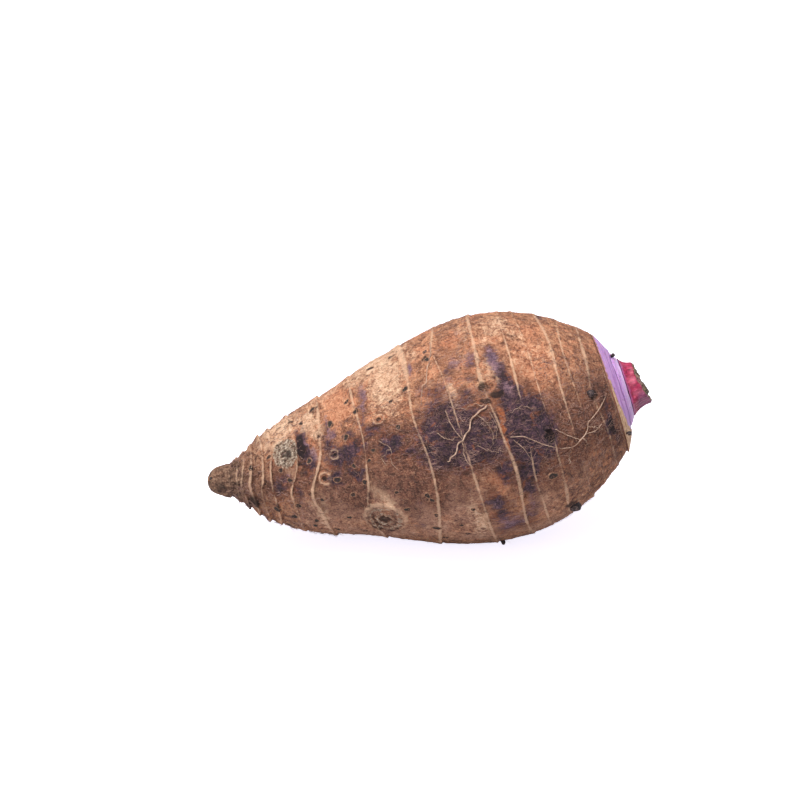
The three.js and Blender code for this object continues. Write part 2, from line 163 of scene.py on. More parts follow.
BLOOM = [
    (135, 28, 4.5, 7, 1.2), (124, 24, 5, 5, 0.8), (117, 22, 6, 6, 0.8), (137, 46, 3, 5, 0.8),
    (57, 36, 3, 4, 0.9), (76, 20, 2.4, 10, 1.0), (98, 16, 2.0, 6, 1.0), (55.5, 27, 1.6, 8, 1.0),
    (46, 52, 3, 5, 0.9), (121, 105, 6, 5, 0.8), (125, 118, 8, 8, 0.9), (44, 40, 2, 4, 0.8),
    (134, 112, 4, 12, 0.7), (32, 64, 3, 3, 0.7), (82, 56, 2, 3, 0.8), (66, 60, 5, 3, 0.6),
    (112, 10, 4, 8, 0.5), (121, -2, 4, 6, 0.6), (100, 34, 3, 4, 0.7), (112, 34, 5, 4, 0.7),
    (37, 104, 2.4, 14, 0.6), (28, 92, 3, 8, 0.6), (84, 128, 5, 8, 0.5), (60, 34, 3, 3, 0.6),
]
# Paler marks: the skin's own pale patches, and along the corm's top broad ones that paint a highlight where
# the light falls
PALE_AND_HIGHLIGHT = [
    (3, 60, 3, 12, 0.5), (112, 122, 5, 6, 0.5), (148, 32, 7, 10, 0.4), (134, 36, 4, 4, 0.6),
    (73, 88, 3.2, 6, 1.4), (75, 96, 3, 3, 1.0), (134, 30, 5, 7, 0.9), (33, 60, 2.2, 3, 0.7),
    (46, 104, 2.2, 14, 0.6), (44, 84, 2.2, 10, 0.6), (140, 0, 9, 12, 0.55), (134, 32, 6, 8, 0.6),
    (148, 12, 6, 10, 0.45), (124, 0, 7, 12, 0.4), (74, 2, 5, 10, 0.5), (100, 4, 4, 8, 0.5),
    (134, 14, 6, 8, 0.5), (38, -6, 8, 10, 0.5), (120, 22, 6, 8, 0.4), (158, 30, 6, 10, 0.35),
    (112, 112, 4, 12, 0.7), (146, 118, 10, 12, 0.25), (32, 0, 12, 12, 0.9), (45, 12, 9, 8, 0.8),
    (50, 25, 4, 5, 0.8), (86, 12, 8, 22, 0.75), (84, -10, 14, 12, 0.8), (60, -12, 20, 10, 0.5),
    (34, 12, 6, 6, 0.7), (88, 28, 6, 6, 0.5), (104, 30, 5, 4, 0.4), (112, 40, 1.6, 3.5, 1.0),
    (26, 100, 5, 8, 0.35), (152, 30, 8, 14, 0.35), (107, 100, 8, 12, 0.3), (124, 114, 2, 2, 0.6),
    (118, 104, 1.6, 2, 0.7), (105, 89, 2, 1, 0.8), (60, -60, 16, 16, 0.5), (120, -30, 12, 14, 0.4),
]
FLUSH = [
    (63, 10, 7, 14, 1.0), (63, -8, 8, 10, 0.8), (40, 18, 3, 6, 0.8), (118, 5, 5, 6, 0.9),
    (124, 90, 7, 6, 0.9), (131.5, 60, 1.8, 7, 1.9), (131.5, 72, 1.8, 6, 1.7), (136, 14, 5, 5, 0.7),
    (152, 34, 9, 16, 0.8), (104, 6, 4, 8, 0.7), (104, 36, 4, 4, 0.6), (155, 10, 10, 14, 0.6),
    (122, 80, 4, 4, 0.7), (166, 80, 5, 8, 0.6), (173, 85, 2, 6, 0.7), (60, 68, 7, 3, 0.6),
    (125, 18, 4, 6, 0.4), (168, 30, 6, 20, 0.35), (100, -60, 12, 20, 0.5), (150, -60, 10, 20, 0.5),
]
CLAY = [
    (60, 95, 16, 14, 0.9), (80, 90, 10, 14, 0.9), (76, 130, 16, 12, 0.7), (44, 110, 12, 12, 0.8),
    (92, 110, 12, 16, 0.9), (106, 100, 10, 20, 0.8), (112, 130, 16, 14, 0.8), (140, 110, 10, 16, 0.6),
    (156, 110, 12, 18, 0.5), (140, 140, 20, 14, 0.7), (60, 140, 20, 12, 0.8), (100, 160, 40, 16, 0.7),
    (90, 200, 50, 20, 0.6),
]
# Near-black blots: the skin's own dark marks and buds, with painted shadow beside the crusty scar and low on
# the tail's neck: (distance, degrees round, reach along, reach round in mm, strength)
SOOT_AND_SHADE = [
    (40, 35, 2.4, 4.5, 1.15), (39, 46, 2, 3, 0.9), (32.5, 39, 1.6, 2, 0.9), (18, 122, 2, 5, 1.0),
    (27, 112, 1.6, 2, 0.9), (52, 3, 2.2, 1.5, 0.8), (58, 27, 1.6, 1.6, 0.9), (105, 12, 1.4, 3, 0.9),
    (126.5, 43, 1.8, 1.8, 1.1), (133, 47, 2.6, 1.4, 1.3), (127.5, 50, 2.6, 1.2, 1.2), (107, 60, 3, 4, 0.6),
    (177, 92, 1.5, 8, 0.8), (145, 58, 1.5, 3, 0.5), (166, 74, 1, 2.5, 0.6), (72, 29, 1.1, 1, 1.2),
    (4, 110, 3, 4, 0.6), (8, 80, 2, 4, 0.4), (150.5, 126, 3, 3, 1.0), (172.5, 62, 1.9, 1.9, 1.0),
    (113, 70, 1.5, 3, 0.4), (68, 122, 3, 3, 0.5), (37, 56, 2, 1.6, 0.7), (30, 150, 9, 4, 0.4),
]

# Places where something grew or broke off: (distance, degrees round, half length, half width, kind)
SCARS = [
    (32.3, 38, 5.2, 6.6, "crust"),
    (73, 111.5, 8.6, 8.4, "oval"),
    (130.4, 43, 5.0, 5.0, "torn"),
    (49, 72, 2.8, 2.8, "ring"),
    (81, 41, 2.2, 2.2, "ring"),
    (50.8, 33, 1.8, 1.8, "ring"),
    (56.5, 54, 2.2, 2.2, "ring"),
    (149.6, 76, 1.9, 3.0, "hole"),
    (92, -75, 6, 7, "crust"),
    (58, -130, 4, 5, "ring"),
    (140, -120, 5, 5, "oval"),
]


def catmull_rom(points, steps=60):
    """A centripetal Catmull-Rom curve through points, sampled finely."""
    p = np.array(points, float)
    p = np.vstack([2 * p[0] - p[1], p, 2 * p[-1] - p[-2]])
    out = []
    for i in range(1, len(p) - 2):
        p0, p1, p2, p3 = p[i - 1:i + 3]
        d0, d1, d2 = (np.linalg.norm(b - a) ** 0.5 for a, b in ((p0, p1), (p1, p2), (p2, p3)))
        t1 = ((p1 - p0) / d0 - (p2 - p0) / (d0 + d1) + (p2 - p1) / d1) * d1
        t2 = ((p2 - p1) / d1 - (p3 - p1) / (d1 + d2) + (p3 - p2) / d2) * d1
        t = np.linspace(0, 1, steps, endpoint=i == len(p) - 3)[:, None]
        out.append((2 * p1 - 2 * p2 + t1 + t2) * t**3 + (3 * p2 - 3 * p1 - 2 * t1 - t2) * t**2 + t1 * t + p1)
    return np.vstack(out)


swung = [(x, -TAIL_SWING * min(1, max(0, 1 - x / TAIL_SWING_OVER)) ** 1.5, z) for x, z in SPINE]
curve = catmull_rom(swung)
arc = np.r_[0, np.cumsum(np.linalg.norm(np.diff(curve, axis=0), axis=1))]
heading = np.gradient(curve, arc, axis=0)


def unit(v):
    return v / np.linalg.norm(v, axis=-1, keepdims=True)


def axes_at(d):
    """The spine's point at a distance from the tip, with unit vectors along, up from and to its front."""
    d = np.asarray(d, float)
    share = np.clip(d / LENGTH, 0, 1) * arc[-1]
    middle = np.stack([np.interp(share, arc, curve[:, k]) for k in range(3)], -1)
    along = unit(np.stack([np.interp(share, arc, heading[:, k]) for k in range(3)], -1))
    front = unit(np.cross(along, [0.0, 0.0, 1.0]))
    up = np.cross(front, along)
    return middle + along * (d - np.clip(d, 0, LENGTH))[..., None], along, up, front


def smooth_through(pairs):
    """A smooth function through (x, y) pairs."""
    xs = np.array([p[0] for p in pairs], float)
    ys = np.array([p[1] for p in pairs], float)
    dx = np.diff(xs)
    slope = np.diff(ys) / dx
    m = np.zeros(len(xs))
    m[1:-1] = (slope[:-1] * dx[1:] + slope[1:] * dx[:-1]) / (dx[1:] + dx[:-1])
    m[0] = 1.5 * slope[0] - m[1] / 2
    m[-1] = 1.5 * slope[-1] - m[-2] / 2

    def f(x):
        x = np.clip(x, xs[0], xs[-1])
        i = np.clip(np.searchsorted(xs, x) - 1, 0, len(xs) - 2)
        h = xs[i + 1] - xs[i]
        t = (x - xs[i]) / h
        return ((2 * t**3 - 3 * t**2 + 1) * ys[i] + (t**3 - 2 * t**2 + t) * h * m[i]
                + (3 * t**2 - 2 * t**3) * ys[i + 1] + (t**3 - t**2) * h * m[i + 1])

    return f


girth = smooth_through(GIRTH)


def turn_between(a, degrees):
    """The signed angle from degrees to a, in radians."""
    off = a - math.radians(degrees)
    return np.arctan2(np.sin(off), np.cos(off))


def bare_radius(d, a):
    """The corm's radius without its skin's relief: a little uneven, with the knobs of old side growths."""
    r = girth(np.clip(d, 0, LENGTH))
    uneven = (0.018 * np.cos(2 * a + 0.6 + d / 90) + 0.01 * np.cos(3 * a - 1 + d / 45)
              + 0.005 * np.cos(5 * a + 2 - d / 30))
    knobs = 0
    for at, turn, reach, top in KNOBS:
        away = ((d - at) ** 2 + (turn_between(a, turn) * r) ** 2) / reach**2
        knobs = knobs + top * np.exp(-away * away)
    return r * (1 + uneven) + knobs


def raw_point(d, a, radius):
    """A point at a distance from the tip, an angle from the top and a radius from the spine."""
    middle, _, up, front = axes_at(d)
    return middle + (up * np.cos(a)[..., None] + front * np.sin(a)[..., None]) * radius[..., None]


def bare_point(d, a):
    """A point on the corm's bare form."""
    return raw_point(d, a, bare_radius(d, a))


def lattice(i, j, k, seed):
    """A repeatable value from -1 to 1 for each whole place."""
    n = (i * 374761393 + j * 668265263 + k * 1274126177 + seed * 144665) & 0xFFFFFFFF
    n = ((n ^ (n >> 13)) * 1103515245 + 12345) & 0xFFFFFFFF
    n = ((n ^ (n >> 16)) * 668265263) & 0xFFFFFFFF
    return (n ^ (n >> 15)) / 2147483647.5 - 1


def noise(p, seed=0):
    """Smooth noise from -1 to 1 at points p."""
    base = np.floor(p).astype(np.int64)
    t = p - base
    t = t * t * t * (t * (t * 6 - 15) + 10)
    out = 0
    for corner in range(8):
        c = np.array([corner & 1, corner >> 1 & 1, corner >> 2 & 1])
        weight = np.prod(np.where(c, t, 1 - t), axis=-1)
        q = base + c
        out = out + weight * lattice(q[..., 0], q[..., 1], q[..., 2], seed)
    return out


def fractal(p, seed=0, octaves=4, gain=0.5):
    """Noise in several sizes, each half of the one before."""
    total = 0
    size = 1
    for octave in range(octaves):
        total = total + size * noise(p * 2**octave, seed + octave)
        size *= gain
    return total


def around_curve(points, column):
    """A periodic smooth function of the angle in radians through a ring's control points."""
    degrees = np.array([p[0] for p in points], float)
    values = np.array([p[column] for p in points], float)
    wrapped = smooth_through([*zip(degrees[-2:] - 360, values[-2:]), *zip(degrees, values),
                              *zip(degrees[:2] + 360, values[:2])])
    start = degrees[0]
    return lambda a: wrapped((np.degrees(a) - start) % 360 + start)


RING_PLACES = [(height, around_curve(points, 1), around_curve(points, 2)) for height, points in RINGS]

# Where the CAD stands: its corm's box against the same form's own box
sample_d, sample_a = np.meshgrid(np.arange(0, LENGTH + 0.1, 1.0), np.radians(np.arange(0, 360, 3)))
sample = bare_point(sample_d, sample_a).reshape(-1, 3)
corm_low, corm_high = (np.array(v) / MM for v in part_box("corm"))
OFFSET = np.array([
    corm_low[0] - sample[:, 0].min(),
    (corm_low[1] + corm_high[1] - sample[:, 1].min() - sample[:, 1].max()) / 2,
    corm_low[2] - sample[:, 2].min() - BELLY_FLAT,
])


def grain_at(d, a):
    """A place on the skin for noise, which doesn't break where the angle wraps."""
    r = girth(np.clip(d, 0, LENGTH))
    return np.stack([d, r * np.cos(a), r * np.sin(a)], -1)


def swayed(d, a, sway=1.0):
    """The same places moved about by a few millimetres, for marks with wandering outlines."""
    r = girth(np.clip(d, 0, LENGTH))
    g = grain_at(d, a)
    moved = d + sway * (2.0 * noise(g * 0.16, 71) + 1.1 * noise(g * [0.3, 0.55, 0.55], 72))
    return moved, a + sway * (2.2 * noise(g * 0.15, 73) + 1.2 * noise(g * 0.45, 74)) / r


def blobs(d, a, marks):
    """How strongly soft-edged marks cover a place."""
    r = girth(np.clip(d, 0, LENGTH))
    total = np.zeros_like(d)
    for at, turn, along, across, strength in marks:
        away = ((d - at) / along) ** 2 + (turn_between(a, turn) * r / across) ** 2
        total = np.maximum(total, strength * np.exp(-0.8 * away))
    return total


# A band of painted shade along the front, set by the angle round alone: its middle and spread in degrees
# round, and what it adds to the stain and umber marks
SHADE_BELT_MIDDLE = 74
SHADE_BELT_SPREAD = 20
SHADE_BELT_STAIN = 0.14
SHADE_BELT_UMBER = 0.34


def shade_belt(a):
    """How far a place lies inside that band of painted shade."""
    return np.exp(-0.5 * (np.degrees(turn_between(a, SHADE_BELT_MIDDLE)) / SHADE_BELT_SPREAD) ** 2)


def ring_marks(d, a):
    """(height of the lips, strength of the pale lines) of the leaf scars."""
    g = grain_at(d, a)
    broken = noise(g * [0.1, 0.12, 0.12], 5) + 0.7 * noise(g * [0.2, 0.5, 0.5], 6)
    ragged = 0.25 * noise(g * [0.9, 0.9, 0.9], 8) + 0.2 * noise(g * 2.2, 9)
    lips = np.zeros_like(d)
    lines = np.zeros_like(d)
    for height, place, width in RING_PLACES:
        x = d - place(a) + ragged * 0.6
        w = np.maximum(width(a), 0.3)
        past = x - 0.45 * w
        strong = np.clip(0.85 + 0.6 * broken, 0.35, 1.25)
        rising = np.exp(np.minimum(past, 0) / 1.9)
        falling = np.exp(-((np.maximum(past, 0) / 0.4) ** 2))
        ledge = np.where(past < 0, rising, falling)
        taller = 1 + 0.6 * np.clip((34 - d) / 14, 0, 1)
        lips = lips + height * taller * strong * (ledge - 0.4 * np.exp(-(((past - 1.1) / 0.8) ** 2)))
        reach = np.abs(x - 0.05 * w) / (0.43 * w + 0.16)
        lines = np.maximum(lines, np.clip(0.55 + 0.4 * broken + 0.24 * w, 0.3, 1.25)
                           * np.clip(w / 0.6, 0.4, 1) * np.exp(-(reach**1.8)))
    return lips, lines


def scar_marks(d, a):
    """(relief, pale crust, dark with painted shade in the hollows, smooth pale rims) of the scars."""
    r = girth(np.clip(d, 0, LENGTH))
    g = grain_at(d, a)
    rough = fractal(g * 1.1, 21, 3)
    relief = np.zeros_like(d)
    crust = np.zeros_like(d)
    dark = np.zeros_like(d)
    rims = np.zeros_like(d)
    # The dark values paint shade into each scar's heart, hollow or hole, mixed with the scars' own dark
    # speckles; ring scars also get a thin dark ring just outside the rim.
    for at, turn, along, across, kind in SCARS:
        away = np.sqrt(((d - at) / along) ** 2 + (turn_between(a, turn) * r / across) ** 2) + 0.08 * rough
        inside = np.clip((1.08 - away) / 0.16, 0, 1)
        rim = np.exp(-(((away - 1) / 0.17) ** 2))
        if kind == "crust":
            heart = np.exp(-((away / 0.4) ** 2))
            relief += 0.5 * rim + inside * (0.5 * rough + 0.3) - 0.7 * heart
            crust = np.maximum(crust, np.maximum(rim * (0.55 + 0.5 * rough), inside * (0.75 + 0.3 * rough)))
            dark = np.maximum(dark, inside * np.clip(0.05 - 0.9 * rough + 0.55 * heart, 0, 0.8))
        elif kind == "oval":
            waves = np.cos(away * 17 + 0.8 * rough)
            low_side = np.clip(0.5 + 0.5 * turn_between(a, turn) * r / across, 0, 1)
            relief += 0.9 * rim - 1.2 * inside * (1 - away) + 0.2 * inside * waves
            crust = np.maximum(crust, inside * (0.42 + 0.25 * waves))
            rims = np.maximum(rims, 0.95 * rim * (1 - 0.6 * low_side))
            rims = np.maximum(rims, 0.62 * inside * np.clip(waves, 0, 1))
            heart = np.exp(-((away / 0.3) ** 2))
            hollow = 0.12 + 0.35 * low_side - 0.35 * waves + 0.6 * heart
            dark = np.maximum(dark, inside * np.clip(hollow, 0, 0.8))
        elif kind == "torn":
            over = np.clip(0.75 - 0.9 * turn_between(a, turn) * r / across, 0, 1)
            second = np.exp(-(((away - 0.62) / 0.14) ** 2))
            relief += (0.75 * rim + 0.5 * second) * over - 1.1 * np.exp(-((away / 0.45) ** 2))
            rims = np.maximum(rims, (0.66 * rim + 0.55 * second) * over)
            crust = np.maximum(crust, 0.35 * inside)
            sunken = np.clip(inside - rim, 0, 1) * (0.5 + 0.5 * rough)
            dark = np.maximum(dark, sunken * (1 - 0.6 * second * over))
        elif kind == "ring":
            wide_rim = np.exp(-(((away - 0.95) / 0.24) ** 2))
            relief += 0.5 * wide_rim - 0.7 * np.exp(-((away / 0.5) ** 2))
            rims = np.maximum(rims, 0.8 * wide_rim)
            dark = np.maximum(dark, 1.3 * np.exp(-((away / 0.45) ** 2)))
            dark = np.maximum(dark, 0.62 * np.exp(-(((away - 1.45) / 0.16) ** 2)))
        else:
            relief += 0.3 * rim - 1.1 * inside
            crust = np.maximum(crust, 0.45 * rim)
            dark = np.maximum(dark, 1.6 * inside)
    return relief, np.clip(crust, 0, 1), np.clip(dark, 0, 1.6), rims


def relief_at(d, a):
    """How far the skin stands out from the corm's bare form."""
    g = grain_at(d, a)
    lips, _ = ring_marks(d, a)
    scars, _, _, _ = scar_marks(d, a)
    wrinkles = 0.12 * noise(g * [0.12, 0.75, 0.75], 31) + 0.08 * noise(g * [0.3, 1.4, 1.4], 33)
    flakes = 0.2 * fractal(g * 0.4, 41, 3, 0.6)
    swell = 0.35 * noise(g * 0.06, 51)
    tail = np.clip((52 - d) / 30, 0, 1)
    neck = 1.3 * np.exp(-(((d - 15.5) / 4.5) ** 2))
    shoulder = 0.7 * np.exp(-(((d - 23) / 5) ** 2))
    worn_tip = 0.3 * np.exp(-d / 3)
    tail_form = neck + shoulder - worn_tip
    return lips + scars + wrinkles + flakes + swell + tail_form + tail * 0.32 * fractal(g * 0.38, 61, 3)


def skin_point(d, a, height=0.0):
    """A point in the frame, in millimetres, at a height above the skin."""
    d, a = np.broadcast_arrays(np.asarray(d, float), np.asarray(a, float))
    p = raw_point(d, a, bare_radius(d, a) + relief_at(d, a) + height) + OFFSET
    p[..., 2] = np.maximum(p[..., 2], 0.0)
    return p


# How far apart the points lie that a direction out of the skin is taken from: millimetres and radians
NEAR = 1.0
NEAR_TURN = 0.04


def skin_normal(d, a):
    """The direction straight out of the corm's bare form."""
    d, a = np.broadcast_arrays(np.asarray(d, float), np.asarray(a, float))
    along = bare_point(d + NEAR, a) - bare_point(d - NEAR, a)
    around = bare_point(d, a + NEAR_TURN) - bare_point(d, a - NEAR_TURN)
    return unit(np.cross(around, along))


# ---------------------------------------------------------------- meshes


def make_object(name, points, faces, material):
    """An object from points in millimetres and lists of faces, all of one size, that rides on the root."""
    mesh = bpy.data.meshes.new(name)
    faces = np.asarray(faces, np.int32)
    points = np.array(points, np.float32) * MM
    points[:, 2] = np.maximum(points[:, 2], 0)
    mesh.vertices.add(len(points))
    mesh.vertices.foreach_set("co", points.ravel())
    mesh.loops.add(faces.size)
    mesh.loops.foreach_set("vertex_index", faces.ravel())
    mesh.polygons.add(len(faces))
    mesh.polygons.foreach_set("loop_start", np.arange(0, faces.size, faces.shape[1], dtype=np.int32))
    mesh.polygons.foreach_set("loop_total", np.full(len(faces), faces.shape[1], np.int32))
    mesh.polygons.foreach_set("use_smooth", np.full(len(faces), True))
    mesh.update(calc_edges=True)
    mesh.validate()
    mesh.materials.append(material)
    obj = bpy.data.objects.new(name, mesh)
    bpy.context.scene.collection.objects.link(obj)
    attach(obj, "root")
    return obj


def add_value(obj, name, values):
    """A named number or vector for each point, for the material."""
    values = np.asarray(values, np.float32)
    kind = "FLOAT_VECTOR" if values.ndim == 2 else "FLOAT"
    layer = obj.data.attributes.new(name, kind, "POINT")
    layer.data.foreach_set("vector" if values.ndim == 2 else "value", values.ravel())


def values_of(obj, name):
    """The named number or vector of each point."""
    layer = obj.data.attributes[name]
    is_vector = layer.data_type == "FLOAT_VECTOR"
    values = np.empty(len(layer.data) * (3 if is_vector else 1), np.float32)
    layer.data.foreach_get("vector" if is_vector else "value", values)
    return values.reshape(-1, 3) if is_vector else values


def grid_faces(rows, columns, wrap=True):
    """Quads of a grid of points, row after row."""
    i, j = np.meshgrid(np.arange(rows - 1), np.arange(columns if wrap else columns - 1), indexing="ij")
    k = (j + 1) % columns
    this, next_ = i * columns, (i + 1) * columns
    return np.stack([this + j, this + k, next_ + k, next_ + j], -1).reshape(-1, 4)


def grid_uv(obj, rows, columns):
    """A UV map that follows the grid along and round it, whichever way its faces turn."""
    layer = obj.data.uv_layers.new(name="OFBake")
    index = np.empty(len(obj.data.loops), np.int32)
    obj.data.loops.foreach_get("vertex_index", index)
    row, column = np.divmod(index, columns)
    corner = np.arange(len(index)) % 4
    column = np.where((column == 0) & np.isin(corner, (1, 2)), columns, column)
    uv = np.stack([0.005 + 0.99 * row / (rows - 1), 0.005 + 0.99 * column / columns], -1)
    layer.data.foreach_set("uv", uv.astype(np.float32).ravel())


# ---------------------------------------------------------------- materials


def srgb(r, g, b):
    """A linear colour from screen values of 0 to 255."""
    shares = (c / 255 for c in (r, g, b))
    return *(c / 12.92 if c <= 0.04045 else ((c + 0.055) / 1.055) ** 2.4 for c in shares), 1


class Nodes:
    """Short ways to lay out a material's nodes."""

    def __init__(self, name):
        self.material = bpy.data.materials.new(name)
        self.material.use_nodes = True
        self.tree = self.material.node_tree
        self.shader = self.tree.nodes["Principled BSDF"]

    def new(self, kind, **settings):
        node = self.tree.nodes.new(kind)
        for key, value in settings.items():
            setattr(node, key, value)
        return node

    def link(self, a, b):
        self.tree.links.new(a, b)

    def put(self, socket, value):
        if isinstance(value, bpy.types.NodeSocket):
            self.link(value, socket)
        else:
            socket.default_value = value

    def attribute(self, name, what="Fac"):
        return self.new("ShaderNodeAttribute", attribute_name=name).outputs[what]

    def noise(self, vector, scale, detail=3.0, roughness=0.55, distortion=0.0):
        node = self.new("ShaderNodeTexNoise")
        self.put(node.inputs["Vector"], vector)
        node.inputs["Scale"].default_value = scale
        node.inputs["Detail"].default_value = detail
        node.inputs["Roughness"].default_value = roughness
        node.inputs["Distortion"].default_value = distortion
        return node.outputs["Fac"]

    def stretch(self, vector, sizes):
        node = self.new("ShaderNodeMapping")
        self.put(node.inputs["Vector"], vector)
        node.inputs["Scale"].default_value = sizes
        return node.outputs["Vector"]

    def math(self, operation, a, b=0.0):
        node = self.new("ShaderNodeMath", operation=operation)
        self.put(node.inputs[0], a)
        self.put(node.inputs[1], b)
        return node.outputs[0]

    def mixed(self, *parts):
        """A sum of values, each given with its weight."""
        total = None
        for value, weight in parts:
            part = self.math("MULTIPLY", value, weight)
            total = part if total is None else self.math("ADD", total, part)
        return total

    def ramp(self, value, low, high, to_low=0.0, to_high=1.0):
        node = self.new("ShaderNodeMapRange", interpolation_type="SMOOTHSTEP")
        self.put(node.inputs["Value"], value)
        node.inputs["From Min"].default_value = low
        node.inputs["From Max"].default_value = high
        node.inputs["To Min"].default_value = to_low
        node.inputs["To Max"].default_value = to_high
        return node.outputs["Result"]

    def colours(self, value, stops):
        node = self.new("ShaderNodeValToRGB")
        self.put(node.inputs["Fac"], value)
        elements = node.color_ramp.elements
        while len(elements) < len(stops):
            elements.new(0.5)
        for element, (place, *screen) in zip(elements, stops):
            element.position = place
            element.color = srgb(*screen)
        return node.outputs["Color"]

    def mix(self, factor, a, b):
        node = self.new("ShaderNodeMix", data_type="RGBA")
        node.clamp_factor = True
        self.put(node.inputs[0], factor)
        self.put(node.inputs[6], a)
        self.put(node.inputs[7], b)
        return node.outputs[2]

    def cover(self, colour, new, amount, most):
        """A colour with a new one laid over it, as strongly as amount says and at most by a share."""
        return self.mix(self.math("MULTIPLY", amount, most), colour, new)

    def bump(self, height, strength, distance):
        node = self.new("ShaderNodeBump")
        self.put(node.inputs["Height"], height)
        node.inputs["Strength"].default_value = strength
        node.inputs["Distance"].default_value = distance
        return node.outputs["Normal"]

    def finish(self, colour, roughness, normal=None, **values):
        self.put(self.shader.inputs["Base Color"], colour)
        self.put(self.shader.inputs["Roughness"], roughness)
        if normal is not None:
            self.link(normal, self.shader.inputs["Normal"])
        for key, value in values.items():
            self.shader.inputs[key.replace("_", " ")].default_value = value
        return self.material


